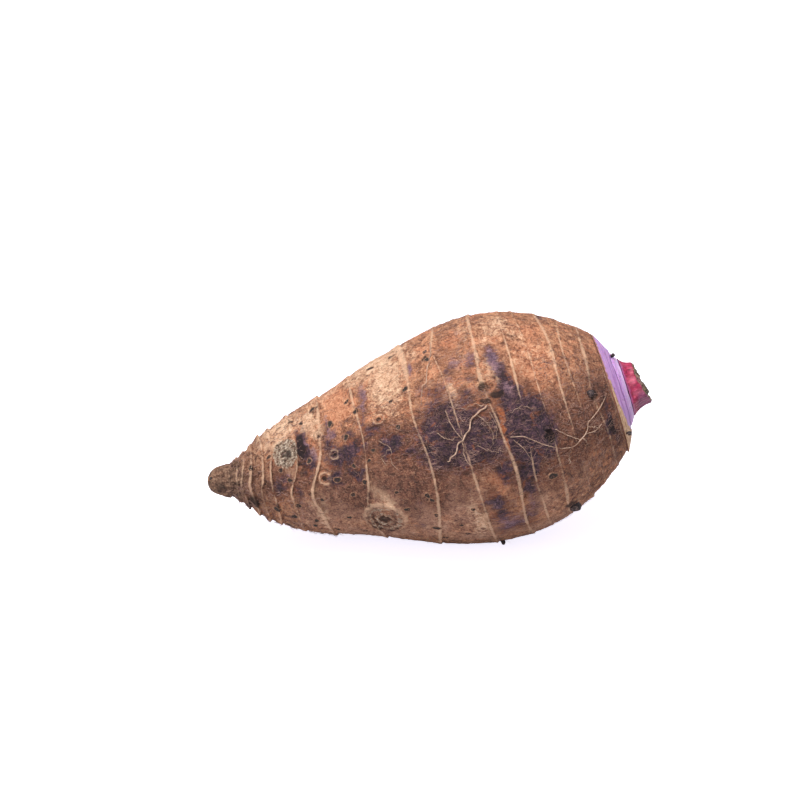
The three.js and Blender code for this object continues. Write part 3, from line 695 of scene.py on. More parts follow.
def skin_material():
    n = Nodes("taro_skin")
    grain = n.attribute("grain", "Vector")
    stain_and_shade, umber_and_shade, bloom, pale, flush, clay, soot_and_shade, line, crust, tail = (
        n.attribute(name)
        for name in ("stain_and_shade", "umber_and_shade", "bloom", "pale", "flush", "clay", "soot_and_shade", "line", "crust", "tail"))
    broad = n.noise(grain, 0.13, 4, 0.6)
    clouds = n.noise(grain, 0.24, 4, 0.6, 0.8)
    tint = n.noise(n.stretch(grain, (0.7, 1.0, 1.0)), 0.19, 4, 0.7, 1.0)
    mottle = n.noise(grain, 0.5, 5, 0.72, 0.6)
    fine = n.noise(grain, 1.3, 4, 0.7, 0.3)
    grit = n.noise(grain, 3.0, 2, 0.6)
    fibre = n.noise(n.stretch(grain, (0.14, 0.9, 0.9)), 1.0, 5, 0.7, 0.5)
    thread = n.noise(n.stretch(grain, (0.22, 2.2, 2.2)), 1.0, 4, 0.65, 1.2)
    hoop = n.noise(n.stretch(grain, (1.6, 0.2, 0.2)), 1.0, 4, 0.65, 0.8)
    tone = n.mixed((clouds, 0.24), (mottle, 0.34), (fine, 0.2), (thread, 0.12), (hoop, 0.1))
    brown = n.colours(tone, [
        (0.40, 84, 50, 40), (0.46, 142, 92, 70), (0.52, 188, 130, 98), (0.59, 230, 180, 142),
    ])
    orange = n.colours(tone, [(0.40, 120, 68, 50), (0.48, 198, 126, 92), (0.59, 240, 180, 142)])
    peach = n.colours(tone, [(0.40, 140, 92, 70), (0.46, 214, 160, 128), (0.57, 253, 220, 188)])
    mauve = n.colours(tone, [(0.40, 106, 72, 62), (0.49, 184, 136, 116), (0.60, 228, 186, 160)])
    violet = n.colours(tone, [
        (0.41, 18, 14, 22), (0.475, 47, 35, 50), (0.53, 77, 56, 74), (0.59, 130, 94, 96),
    ])
    umber_brown = n.colours(tone, [
        (0.41, 46, 26, 24), (0.48, 96, 58, 48), (0.54, 136, 88, 70), (0.61, 194, 140, 110),
    ])
    colour = n.mix(n.ramp(tint, 0.5, 0.62), brown, orange)
    colour = n.mix(n.math("MULTIPLY", n.ramp(tint, 0.46, 0.36), 0.6), colour, umber_brown)
    colour = n.mix(n.ramp(n.mixed((clay, 1.0), (broad, 0.9)), 0.6, 1.25, 0, 0.85), colour, mauve)
    colour = n.mix(n.ramp(n.mixed((flush, 1.0), (broad, 0.5), (mottle, 0.6)), 0.75, 1.3), colour, orange)
    # peach: the skin's pale patches, with a painted highlight along the corm's top
    colour = n.mix(n.ramp(n.mixed((pale, 1.0), (mottle, 0.9), (fine, 0.4)), 0.9, 1.45), colour, peach)
    # dim: darker brown from the umber marks, which also carry the painted shade band along the front
    dim = n.ramp(n.mixed((umber_and_shade, 1.0), (mottle, 0.8), (broad, 0.5), (fine, 0.5)), 1.1, 1.85)
    colour = n.cover(colour, umber_brown, dim, 0.92)
    bright = n.ramp(flush, 1.05, 1.5)
    colour = n.cover(colour, srgb(186, 104, 64), bright, 0.75)
    rust = n.colours(tone, [(0.42, 44, 24, 22), (0.49, 92, 52, 44), (0.56, 150, 88, 66)])
    rusty = n.noise(n.stretch(grain, (0.6, 1.0, 1.0)), 0.3, 4, 0.65, 0.8)
    dark_skin = n.mix(n.ramp(n.mixed((rusty, 1.0), (stain_and_shade, -0.1)), 0.42, 0.52), violet, rust)
    # patchy: dark violet and rust skin from the stains, which also carry painted shade along the front and
    # beside the crusty scar
    patchy = n.ramp(n.mixed(
        (stain_and_shade, 0.95), (mottle, 1.3), (clouds, 0.9), (fibre, 1.1), (fine, 0.5), (bright, -1.2),
    ), 2.1, 2.75)
    colour = n.cover(colour, dark_skin, patchy, 0.95)
    lavender = n.colours(tone, [(0.41, 62, 46, 62), (0.48, 116, 90, 112), (0.58, 176, 140, 150)])
    misty = n.ramp(n.mixed((bloom, 1.0), (mottle, 0.9), (fibre, 0.6), (fine, 0.3)), 1.35, 1.95)
    colour = n.cover(colour, lavender, misty, 0.8)
    open_skin = n.math("SUBTRACT", 1.0, n.math("MULTIPLY", patchy, 0.7))
    tail_colour = n.colours(tone, [(0.41, 38, 26, 23), (0.48, 92, 68, 56), (0.58, 166, 134, 112)])
    colour = n.cover(colour, tail_colour, tail, 0.85)
    flecks = n.ramp(n.mixed((fine, 0.6), (grit, 0.4)), 0.54, 0.62)
    pale_flecks = n.math("MULTIPLY", n.math("MULTIPLY", flecks, 0.3), open_skin)
    colour = n.mix(pale_flecks, colour, srgb(240, 198, 164))
    dots = n.ramp(n.mixed((fine, 0.6), (mottle, 0.3), (grit, 0.1)), 0.44, 0.38)
    colour = n.cover(colour, srgb(56, 32, 28), dots, 0.6)
    threads = n.ramp(thread, 0.55, 0.64)
    pale_threads = n.math("MULTIPLY", n.math("MULTIPLY", threads, 0.26), open_skin)
    colour = n.mix(pale_threads, colour, srgb(230, 176, 140))
    shade = n.ramp(thread, 0.45, 0.36)
    colour = n.cover(colour, srgb(62, 36, 32), shade, 0.32)
    lit_line = n.ramp(n.mixed((line, 1.0), (fine, 0.5), (mottle, 0.5)), 0.75, 1.4)
    colour = n.cover(colour, srgb(240, 198, 166), lit_line, 0.62)
    crusty = n.colours(n.mixed((tone, 0.5), (fine, 0.5)), [
        (0.40, 52, 40, 36), (0.46, 118, 98, 84), (0.52, 176, 154, 134), (0.60, 238, 222, 204),
    ])
    colour = n.mix(n.ramp(n.mixed((crust, 1.0), (fine, 0.6)), 0.6, 1.1), colour, crusty)
    # near-black: the skin's own dark blots, with painted shade in undercuts, scar hollows and holes
    sooty_and_shaded = n.ramp(n.mixed((soot_and_shade, 1.0), (fine, 0.6), (mottle, 0.3)), 0.75, 1.2)
    colour = n.cover(colour, srgb(36, 26, 26), sooty_and_shaded, 0.88)
    rough = n.ramp(tone, 0.36, 0.62, 0.6, 0.92)
    relief = n.mixed((mottle, 0.8), (fine, 0.36), (grit, 0.06), (thread, 0.3), (hoop, 0.2))
    normal = n.bump(relief, 1.0, 0.0022)
    return n.finish(colour, rough, normal, Specular_IOR_Level=0.3)


# ---------------------------------------------------------------- the corm

COLUMNS = 336
ROW_STEP = 0.62
FINER_FRONT = 0.3
FINEST_TURN = 65


def ring_rows(angles):
    """Distances from the tip for each row of points, which follow the leaf scars round and crowd at them."""
    scars = [place(angles) for _, place, _ in RING_PLACES]
    edges = [np.zeros_like(angles), *scars, np.full_like(angles, LENGTH)]
    rows = []
    for k, (low, high) in enumerate(zip(edges, edges[1:])):
        count = max(4, round(float(np.mean(high - low)) / ROW_STEP))
        share = np.arange(count) / count
        crowd = 0.55 if 0 < k < len(edges) - 2 else 0.2
        share = share - crowd * np.sin(2 * np.pi * share) / (2 * np.pi)
        rows.append(low + (high - low) * share[:, None])
    rows.append(edges[-1][None])
    return np.vstack(rows)


def make_corm():
    turn = np.arange(COLUMNS) / COLUMNS * 2 * np.pi
    angles = turn - FINER_FRONT * np.sin(turn - math.radians(FINEST_TURN))
    d = ring_rows(angles)
    a = np.broadcast_to(angles, d.shape)
    radius = bare_radius(d, a) + relief_at(d, a)
    blunt = np.clip(d / 2.2, 0, 1)
    radius = radius * np.sqrt(1 - (1 - blunt) ** 2)
    p = raw_point(d, a, radius)
    closing = []
    for share in (0.97, 0.6, 0.02):
        closing.append(raw_point(d[-1] + 0.4, a[-1], radius[-1] * share))
    p = np.concatenate([p, np.array(closing)]) + OFFSET
    p[..., 2] = np.where(p[..., 2] < 0.6, 0.6 * np.exp((p[..., 2] - 0.6) / 0.6), p[..., 2])
    rows = len(p)
    corm = make_object("taro_corm", p.reshape(-1, 3), grid_faces(rows, COLUMNS), skin_material())
    grid_uv(corm, rows, COLUMNS)
    d = np.concatenate([d, np.repeat(d[-1:], 3, 0)])
    a = np.broadcast_to(angles, d.shape)
    _, lines = ring_marks(d, a)
    _, crust, dark, rims = scar_marks(d, a)
    add_value(corm, "grain", grain_at(d, a).reshape(-1, 3))
    moved = swayed(d, a)
    # The stain and umber values also carry the painted shade band along the front
    add_value(corm, "stain_and_shade", (blobs(*moved, STAINS_AND_SHADOW) + SHADE_BELT_STAIN * shade_belt(moved[1])).ravel())
    add_value(corm, "umber_and_shade", (blobs(*moved, UMBER) + SHADE_BELT_UMBER * shade_belt(moved[1])).ravel())
    for name, marks in (("bloom", BLOOM), ("pale", PALE_AND_HIGHLIGHT), ("flush", FLUSH), ("clay", CLAY)):
        add_value(corm, name, blobs(*moved, marks).ravel())
    # the scars' dark hollows join the near-black blots; both hold painted shade as well as the skin's own
    # dark marks
    add_value(corm, "soot_and_shade", np.maximum(blobs(*swayed(d, a, 0.7), SOOT_AND_SHADE), dark).ravel())
    lines[-4:] = 0.5
    add_value(corm, "line", np.maximum(lines, rims).ravel())
    add_value(corm, "crust", crust.ravel())
    tail = np.clip((16 - d) / 6, 0, 1) + 0.45 * np.clip((30 - d) / 12, 0, 1)
    add_value(corm, "tail", tail.clip(0, 1).ravel())
    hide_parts("corm")
    return corm


make_corm()

# ---------------------------------------------------------------- the crown

CROWN_FOOT = LENGTH + 0.95
COLLAR_RADIUS = 26.2
COLLAR_BORE = 17.6
COLLAR_HEIGHT = 4.4
INNER_FOOT = 17.25
INNER_HEIGHT = 7.1
STALK_BASE = 7.45
STALK_FOOT = 13.2
STALK_RADIUS = 9.4
STALK_HEIGHT = 7.6
STALK_CORE = 5.6
CORE_HEIGHT = 8.8
HUSK_TURN = 30
HUSK_REACH = 98
GRAIN_RADIUS = 18
HUSK_GRAIN_RADIUS = 26
TORN_TURN = 128
STALK_LEAN = 0.2

crown_middle, crown_along, crown_up, crown_front = (np.array(v) for v in axes_at(float(LENGTH)))
crown_middle = crown_middle + crown_along * (CROWN_FOOT - LENGTH) + OFFSET


def crown_point(turn, radius, height):
    """A point over the crown: turn runs from its underside to its front."""
    turn, radius, height = np.broadcast_arrays(turn, radius, height)
    out = -crown_up * np.cos(turn)[..., None] + crown_front * np.sin(turn)[..., None]
    return crown_middle + crown_along * height[..., None] + out * radius[..., None]


def crown_grain(turn, radius, height):
    """A place on the crown for noise, which doesn't break where the turn wraps."""
    return np.stack([height, radius * np.cos(turn), radius * np.sin(turn)], -1)


def along_profile(profile, step=0.35):
    """Points evenly along a profile of (radius, height), with each point's share of the whole way."""
    profile = np.array(profile, float)
    way = np.r_[0, np.cumsum(np.linalg.norm(np.diff(profile, axis=0), axis=1))]
    at = np.unique(np.round(np.r_[np.linspace(0, way[-1], max(2, int(way[-1] / step))), way], 4))
    return np.interp(at, way, profile[:, 0]), np.interp(at, way, profile[:, 1]), at


def crown_piece(name, profile, material, shape, columns=300, step=0.35):
    """A turned piece of the crown. shape(turn, radius, height) returns the reshaped radius and height."""
    radius, height, way = along_profile(profile, step)
    turn = np.arange(columns) / columns * 2 * np.pi
    turn, radius = np.broadcast_arrays(turn[None], radius[:, None])
    height = np.broadcast_to(height[:, None], turn.shape)
    radius, height = shape(turn, radius, height)
    points = crown_point(turn, radius, height).reshape(-1, 3)
    obj = make_object(name, points, grid_faces(len(way), columns)[:, ::-1], material)
    grid_uv(obj, len(way), columns)
    add_value(obj, "grain", crown_grain(turn, radius, height).reshape(-1, 3))
    add_value(obj, "round", crown_grain(turn, GRAIN_RADIUS, height).reshape(-1, 3))
    add_value(obj, "reach", radius.ravel())
    add_value(obj, "rise", height.ravel())
    return obj


def sheath_material():
    n = Nodes("leaf_base")
    grain = n.attribute("grain", "Vector")
    round_ = n.attribute("round", "Vector")
    reach = n.attribute("reach")
    layers = n.noise(n.stretch(round_, (2.4, 0.12, 0.12)), 1.0, 4, 0.6, 0.3)
    fine = n.noise(grain, 1.6, 4, 0.6)
    cells = n.noise(n.stretch(grain, (1.5, 0.7, 0.7)), 1.0, 3, 0.6)
    tone = n.mixed((layers, 0.6), (fine, 0.4))
    lilac = n.colours(tone, [
        (0.36, 148, 98, 164), (0.46, 176, 128, 192), (0.54, 190, 146, 204), (0.66, 222, 190, 228),
    ])
    pale_foot = n.ramp(n.math("ADD", reach, n.math("MULTIPLY", cells, 1.5)), 17.6, 15.0)
    skin = n.mix(n.math("MULTIPLY", pale_foot, 0.55), lilac, srgb(214, 188, 226))
    edge = n.ramp(n.math("ADD", reach, n.math("MULTIPLY", cells, 1.6)), 26.9, 27.6)
    colour = n.mix(edge, skin, srgb(150, 104, 84))
    seam = n.math("ABSOLUTE", n.math("SUBTRACT", n.math("ADD", reach, n.math("MULTIPLY", fine, 0.5)), 18.25))
    colour = n.mix(n.ramp(seam, 1.0, 0.35), colour, srgb(92, 52, 118))
    second = n.math("ABSOLUTE", n.math("SUBTRACT", n.math("ADD", reach, n.math("MULTIPLY", fine, 0.4)), 22.0))
    colour = n.mix(n.math("MULTIPLY", n.ramp(second, 0.5, 0.1), 0.5), colour, srgb(120, 72, 148))
    collar_foot = n.ramp(reach, 13.9, 13.2)
    colour = n.mix(collar_foot, colour, srgb(150, 60, 120))
    bits = n.ramp(n.noise(grain, 0.5, 3, 0.7), 0.36, 0.3)
    colour = n.cover(colour, srgb(92, 58, 62), bits, 0.6)
    normal = n.bump(n.mixed((layers, 0.7), (fine, 0.3)), 0.7, 0.0006)
    return n.finish(colour, n.ramp(fine, 0.35, 0.65, 0.38, 0.62), normal, Specular_IOR_Level=0.45,
                    Subsurface_Weight=0.12, Subsurface_Scale=0.002)


def stalk_material():
    n = Nodes("stalk_skin")
    grain = n.attribute("grain", "Vector")
    rise = n.attribute("rise")
    cut = n.attribute("cut")
    highlight_paint = n.attribute("painted_highlight")
    veins = n.noise(n.stretch(grain, (0.12, 1.1, 1.1)), 1.0, 4, 0.6, 0.2)
    fine = n.noise(n.stretch(grain, (0.5, 2.2, 2.2)), 1.0, 3, 0.6)
    blotch = n.noise(grain, 0.35, 3, 0.6)
    tone = n.mixed((veins, 0.65), (fine, 0.35))
    pink = n.colours(tone, [
        (0.36, 96, 12, 42), (0.46, 136, 24, 62), (0.55, 164, 42, 80), (0.66, 200, 88, 118),
    ])
    plum = n.colours(tone, [(0.36, 72, 24, 52), (0.5, 118, 48, 84), (0.64, 160, 92, 120)])
    shaded = n.ramp(n.mixed((n.attribute("shaded"), 1.0), (blotch, 0.6)), 0.45, 0.95)
    colour = n.mix(shaded, pink, plum)
    # painted highlight: a pale pink sheen laid over the stalk's upper front, where the light falls
    colour = n.cover(colour, srgb(214, 126, 144), highlight_paint, 0.42)
    foot = n.ramp(n.mixed((rise, 1.0), (blotch, -2.0)), 7.6, 6.4)
    colour = n.mix(foot, colour, srgb(176, 92, 150))
    woody = n.colours(n.noise(grain, 1.5, 4, 0.65), [
        (0.38, 44, 32, 26), (0.5, 98, 78, 58), (0.62, 156, 136, 106),
    ])
    colour = n.mix(n.ramp(n.math("ADD", cut, n.math("MULTIPLY", fine, 0.6)), 0.65, 0.95), colour, woody)
    normal = n.bump(tone, 0.6, 0.0005)
    return n.finish(colour, n.ramp(fine, 0.35, 0.65, 0.36, 0.62), normal, Specular_IOR_Level=0.42,
                    Subsurface_Weight=0.1, Subsurface_Scale=0.0015)


def core_material():
    n = Nodes("stalk_heart")
    grain = n.attribute("grain", "Vector")
    cut = n.attribute("cut")
    veins = n.noise(n.stretch(grain, (0.2, 1.3, 1.3)), 1.0, 4, 0.6, 0.3)
    fine = n.noise(grain, 1.8, 4, 0.6)
    colour = n.colours(veins, [(0.36, 92, 40, 60), (0.48, 140, 84, 96), (0.6, 172, 150, 118)])
    woody = n.colours(fine, [(0.38, 34, 26, 22), (0.5, 84, 70, 54), (0.62, 140, 126, 98)])
    colour = n.mix(cut, colour, woody)
    normal = n.bump(n.math("ADD", veins, fine), 0.7, 0.0006)
    return n.finish(colour, n.ramp(fine, 0.35, 0.65, 0.45, 0.75), normal)


def husk_material():
    n = Nodes("dry_husk")
    grain = n.attribute("grain", "Vector")
    veins = n.noise(n.stretch(grain, (2.2, 0.35, 0.35)), 1.0, 5, 0.65, 0.3)
    fine = n.noise(grain, 1.6, 4, 0.65)
    tone = n.mixed((veins, 0.6), (fine, 0.4))
    colour = n.colours(tone, [
        (0.36, 120, 84, 62), (0.46, 184, 142, 110), (0.56, 214, 178, 144), (0.66, 236, 208, 180),
    ])
    normal = n.bump(tone, 0.9, 0.0007)
    return n.finish(colour, n.ramp(fine, 0.35, 0.65, 0.6, 0.9), normal)


def collar_shape(turn, radius, height):
    g = crown_grain(turn, GRAIN_RADIUS, height)
    slope = np.clip((height - 0.3) / 1.2, 0, 1)
    edge = 1 + 0.05 * np.sin(3 * turn + math.pi) - 0.03 * np.sin(7 * turn + 1)
    knife = 0.16 * noise(g * [2.2, 0.14, 0.14], 81) + 0.1 * noise(g * [0.8, 0.5, 0.5], 82)
    outside = radius > COLLAR_BORE + 0.2
    return radius + slope * knife * outside, height * edge + slope * 0.12 * noise(g * 0.4, 83)


def inner_shape(turn, radius, height):
    g = crown_grain(turn, GRAIN_RADIUS, height)
    top = np.clip((height - COLLAR_HEIGHT) / 0.5, 0, 1)
    return (radius + top * (0.14 * noise(g * [2.5, 0.16, 0.16], 84)) * (radius > 5),
            height + top * 0.12 * noise(g * [1.0, 0.4, 0.4], 85))


def leant(turn, radius, height):
    """The stalk leans up a little and its cut slants."""
    down = radius * np.cos(turn)
    rise = height - STALK_BASE
    return height + STALK_LEAN * rise / STALK_HEIGHT * down


def wrap_top(turn):
    """How high the stalk's outer wrap still stands: torn short on its upper front."""
    torn = np.exp(-((np.degrees(turn_between(turn, TORN_TURN)) / 42) ** 2))
    jag = 0.35 * np.sin(7 * turn + 0.5) + 0.3 * np.sin(13 * turn + 2) + 0.2 * np.sin(29 * turn)
    return STALK_HEIGHT - 1.2 * torn + jag * 0.5


def stalk_shape(turn, radius, height):
    rise = height - STALK_BASE
    outside = np.clip((radius - STALK_CORE - 1.0) / 1.5, 0, 1)
    share = np.clip(rise / STALK_HEIGHT, 0, 1)
    flutes = 0.025 * np.cos(9 * turn) + 0.02 * np.cos(4 * turn) + 0.012 * np.cos(17 * turn + 1)
    curl = 0.5 * share**4 * np.sin(5 * turn + 1)
    new_height = STALK_BASE + rise * (wrap_top(turn) / STALK_HEIGHT)
    return radius * (1 + outside * flutes) + outside * curl, leant(turn, radius, new_height)


def core_shape(turn, radius, height):
    rise = height - STALK_BASE
    share = np.clip(rise / CORE_HEIGHT, 0, 1)
    folds = 1 - 0.1 * (0.5 + 0.5 * np.cos(3 * turn + 1)) ** 3 - 0.04 * np.cos(8 * turn)
    lower = 0.9 * np.cos(turn - math.radians(35)) * share**2
    jag = 0.25 * np.sin(5 * turn) + 0.2 * np.sin(11 * turn + 1) - 1.5
    raised = height + share**3 * (lower + jag) * (0.4 + radius / STALK_CORE * 0.6)
    return radius * folds, leant(turn, radius, raised)


def make_crumbs():
    """Two dark crumbs that are stuck to the collar."""
    material = scale_material()
    rows, columns = 12, 20
    for k, (turn, radius, height, size) in enumerate([(176, 17.4, 5.6, 1.1), (70, 26.6, 2.0, 1.1)]):
        centre = crown_point(np.array(math.radians(turn)), np.array(radius), np.array(height))
        t, u = np.meshgrid(np.arange(columns) / columns * 2 * np.pi, np.linspace(0.02, np.pi - 0.02, rows))
        ball = np.stack([np.sin(u) * np.cos(t), np.sin(u) * np.sin(t), np.cos(u)], -1)
        ball = ball * (1 + 0.35 * fractal(ball * 1.6, 120 + k, 3))[..., None] * size * [1, 0.7, 0.8]
        points = (centre + ball).reshape(-1, 3)
        crumb = make_object(f"crumb_{k + 1}", points, grid_faces(rows, columns)[:, ::-1], material)


def make_crown():
    sheath = sheath_material()
    collar = crown_piece("outer_sheath", [
        (COLLAR_BORE, 0.05), (COLLAR_RADIUS + 0.95, -0.5), (COLLAR_RADIUS - 0.1, 0.45),
        (COLLAR_BORE + 0.6, COLLAR_HEIGHT),
        (COLLAR_BORE + 0.15, COLLAR_HEIGHT - 0.1), (COLLAR_BORE, 0.2),
    ], sheath, collar_shape)
    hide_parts("outer_leaf_base")
    inner = crown_piece("inner_sheath", [
        (INNER_FOOT, 0.05), (INNER_FOOT, COLLAR_HEIGHT - 0.3), (INNER_FOOT - 0.6, COLLAR_HEIGHT + 0.6),
        (STALK_FOOT + 0.4, INNER_HEIGHT), (0.05, INNER_HEIGHT),
    ], sheath, inner_shape, 260)
    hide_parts("inner_leaf_base")
    spread = [(STALK_RADIUS + (STALK_FOOT - STALK_RADIUS) * math.exp(-h / 3), STALK_BASE + h)
              for h in (0, 0.4, 0.8, 1.4, 2.2, 3, 4, 5, 6, 6.8)]
    wall_top = STALK_BASE + STALK_HEIGHT
    stub = crown_piece("stalk_wrap", [
        (STALK_CORE + 0.4, STALK_BASE), *spread, (STALK_RADIUS - 0.2, wall_top - 0.3),
        (STALK_RADIUS - 0.9, wall_top), (STALK_CORE + 1.4, wall_top - 0.4),
        (STALK_CORE + 0.6, wall_top - 1.2), (STALK_CORE + 0.4, STALK_BASE + 0.3),
    ], stalk_material(), stalk_shape, 260, 0.3)
    rise, reach, grain = (values_of(stub, name) for name in ("rise", "reach", "grain"))
    turn = np.arctan2(grain[:, 2], grain[:, 1])
    top = leant(turn, reach, STALK_BASE + wrap_top(turn))
    add_value(stub, "cut", np.clip(1 - (top - rise) / 0.55, 0, 1) * 0.9 + (reach < STALK_CORE + 2.2))
    degrees = np.degrees(turn)
    # Where the painted highlight lies on the stalk: a soft spot on its upper front and a thin streak on its
    # front
    highlight_place = np.exp(-((degrees - TORN_TURN) / 12) ** 2) * np.exp(-((rise - STALK_BASE - 2.8) / 1.7) ** 2)
    highlight_place = np.maximum(highlight_place, 0.6 * np.exp(-((degrees - 96) / 7) ** 2) * (rise > STALK_BASE + 1.5))
    add_value(stub, "painted_highlight", highlight_place)
    below = np.clip((108 - np.abs(degrees)) / 30, 0, 1)
    add_value(stub, "shaded", below * np.clip((rise - 9) / 3, 0.3, 1))
    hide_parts("leaf_stalk")
    core = crown_piece("stalk_heart", [
        (0.05, STALK_BASE), (STALK_CORE, STALK_BASE), (STALK_CORE, STALK_BASE + CORE_HEIGHT - 0.9),
        (STALK_CORE - 0.7, STALK_BASE + CORE_HEIGHT - 0.1), (0.05, STALK_BASE + CORE_HEIGHT - 0.6),
    ], core_material(), core_shape, 200, 0.3)
    add_value(core, "cut", np.clip((values_of(core, "rise") - STALK_BASE - CORE_HEIGHT + 2.4) / 1.2, 0, 1))
    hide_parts("stalk_core")
    husk_piece()


def husk_piece():
    """A torn crescent of dry husk that wraps the collar's lower front."""
    columns = 220
    turn = np.radians(HUSK_TURN + np.linspace(-HUSK_REACH, HUSK_REACH, columns))
    off = (turn - math.radians(HUSK_TURN)) / 1.2
    jag = 1 + 0.06 * np.sin(9 * turn) + 0.05 * np.sin(23 * turn + 1)
    tall = 3.9 * (0.15 + 0.85 * np.cos(off) ** 2) * jag
    thick = 0.3 + 1.2 * np.cos(off) ** 2
    loop = [(0, 0), (0, 0.25), (0, 0.5), (0, 0.75), (0.1, 0.97), (0.5, 1.02), (0.8, 0.95), (1, 0.75),
            (1, 0.5), (1, 0.25), (0.95, 0.05), (0.5, 0)]
    rows = []
    grains = []
    for out, share in loop + loop[:1]:
        height = 0.05 + tall * share
        narrower = (COLLAR_RADIUS - COLLAR_BORE - 0.5) * height / COLLAR_HEIGHT
        g = crown_grain(turn, HUSK_GRAIN_RADIUS, height)
        ruffle = 0.18 * noise(g * [1.2, 0.35, 0.35], 91) * share
        radius = COLLAR_RADIUS + 0.6 - narrower + out * thick * (1 - 0.3 * share) + ruffle
        rows.append(crown_point(turn, radius, height))
        grains.append(g)
    points = np.array(rows)
    faces = grid_faces(len(rows), columns, wrap=False)
    husk = make_object("husk_collar", points.reshape(-1, 3), faces, husk_material())
    add_value(husk, "grain", np.array(grains).reshape(-1, 3))
    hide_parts("husk_band")


make_crown()

# ---------------------------------------------------------------- what grows on the skin

SIDE_BUDS = [(171.2, 60, 1.7, 1.6), (151.5, 132, 2.6, 2.2), (120, 152, 1.2, 1.8), (105, -58, 2, 1.7),
             (154.5, -96, 2.2, 1.9)]

# Root pits: (distance, degrees round, radius)
PITS = [
    (17.5, 43, 0.9), (38.5, 0, 0.8), (43.5, 11, 0.8), (51.5, 2, 1.1), (58, 27, 1.1), (72, 29, 0.7),
    (82, -5, 0.9), (91, -5, 0.8), (69, 17, 0.7), (93.5, 28, 0.9), (64.5, 44, 1.0), (87.5, 50, 0.8),
    (65, 67, 0.8), (32.5, 70, 0.8), (55, 75, 1.1), (61, 89, 0.8), (81, 90, 0.6), (68.5, 80, 0.8),
    (93, 93, 0.9), (94.5, 96, 0.7), (35.5, 101, 0.8), (83.5, 103, 0.8), (34, 117, 0.9), (43, 117, 0.7),
    (42.5, 125, 0.7), (51, 130, 0.8), (27, 112, 0.9), (94, 119, 1.1), (63, 131, 0.8), (33, 140, 0.9),
    (95, 107, 0.7), (104.5, 116, 0.6), (106.5, 126, 0.7), (110.5, 104, 0.6), (113, 121, 0.7), (43, 53, 0.9),
    (105.5, 7, 0.7), (105.5, 14, 0.8), (146, 97, 1.2), (97, 132, 0.7), (87, 32, 0.6), (25, 35, 0.6),
    (22, 75, 0.6), (29, 57, 0.7), (46, 92, 0.6), (76, 60, 0.7), (57, 112, 0.7), (73, 66, 0.6),
    (0.8, 42, 0.6),
]
MORE_PITS = 46
PIT_SPAN = (18, 172)
HIDDEN_SIDE = (160, 325)


def scale_material():
    n = Nodes("bud_scale")
    spot = n.new("ShaderNodeTexCoord").outputs["Object"]
    coarse = n.noise(spot, 700, 4, 0.65)
    fine = n.noise(spot, 2600, 3, 0.6)
    colour = n.colours(coarse, [
        (0.34, 22, 16, 20), (0.5, 46, 34, 38), (0.6, 84, 66, 66), (0.7, 150, 128, 118),
    ])
    normal = n.bump(n.math("ADD", coarse, n.math("MULTIPLY", fine, 0.5)), 0.9, 0.0007)
    return n.finish(colour, n.ramp(fine, 0.35, 0.65, 0.45, 0.8), normal)


def cap_points(d, turn, radius, height, sides=26, rings=12, seed=0):
    """A lumpy pointed scale on the skin."""
    at = skin_point(d, math.radians(turn))
    out = skin_normal(d, math.radians(turn))
    _, along, _, _ = axes_at(d)
    u = unit(along - out * (along @ out))
    v = np.cross(out, u)
    share = np.linspace(0, 1, rings)[:, None]
    t = (np.arange(sides) / sides * 2 * np.pi)[None]
    r = radius * np.maximum(np.cos(share * np.pi / 2), 0.01) ** 0.7
    rise = (height + 0.6) * np.sin(share * np.pi / 2) ** 1.2 - 0.5 + 0 * t
    p = np.stack([r * np.cos(t), r * np.sin(t), rise], -1)
    p = p * (1 + 0.14 * fractal(p * 0.9, 100 + seed, 3))[..., None]
    leaning = (0.25 * radius * share + 0 * t)[..., None]
    return (at + u * (p[..., :1] + leaning) + v * p[..., 1:2] + out * p[..., 2:]).reshape(-1, 3)


def make_buds():
    material = scale_material()
    for k, (d, turn, radius, height) in enumerate(SIDE_BUDS):
        points = cap_points(d, turn, radius, height, 40, 18, k)
        bud = make_object(f"bud_scale_{k + 1}", points, grid_faces(18, 40)[:, ::-1], material)
        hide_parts(f"side_bud_{k + 1}")


def pit_material():
    n = Nodes("root_pit")
    painted_hole_shade = n.attribute("painted_hole_shade")
    spot = n.new("ShaderNodeTexCoord").outputs["Object"]
    fine = n.noise(spot, 1800, 4, 0.6)
    rim = n.colours(fine, [(0.36, 96, 64, 50), (0.5, 142, 100, 78), (0.64, 186, 142, 114)])
    # painted shade: the pit's nearly flat centre is coloured near-black like a deep hole
    colour = n.mix(painted_hole_shade, rim, srgb(34, 24, 20))
    return n.finish(colour, n.ramp(fine, 0.3, 0.7, 0.6, 0.9), n.bump(fine, 0.8, 0.0004))


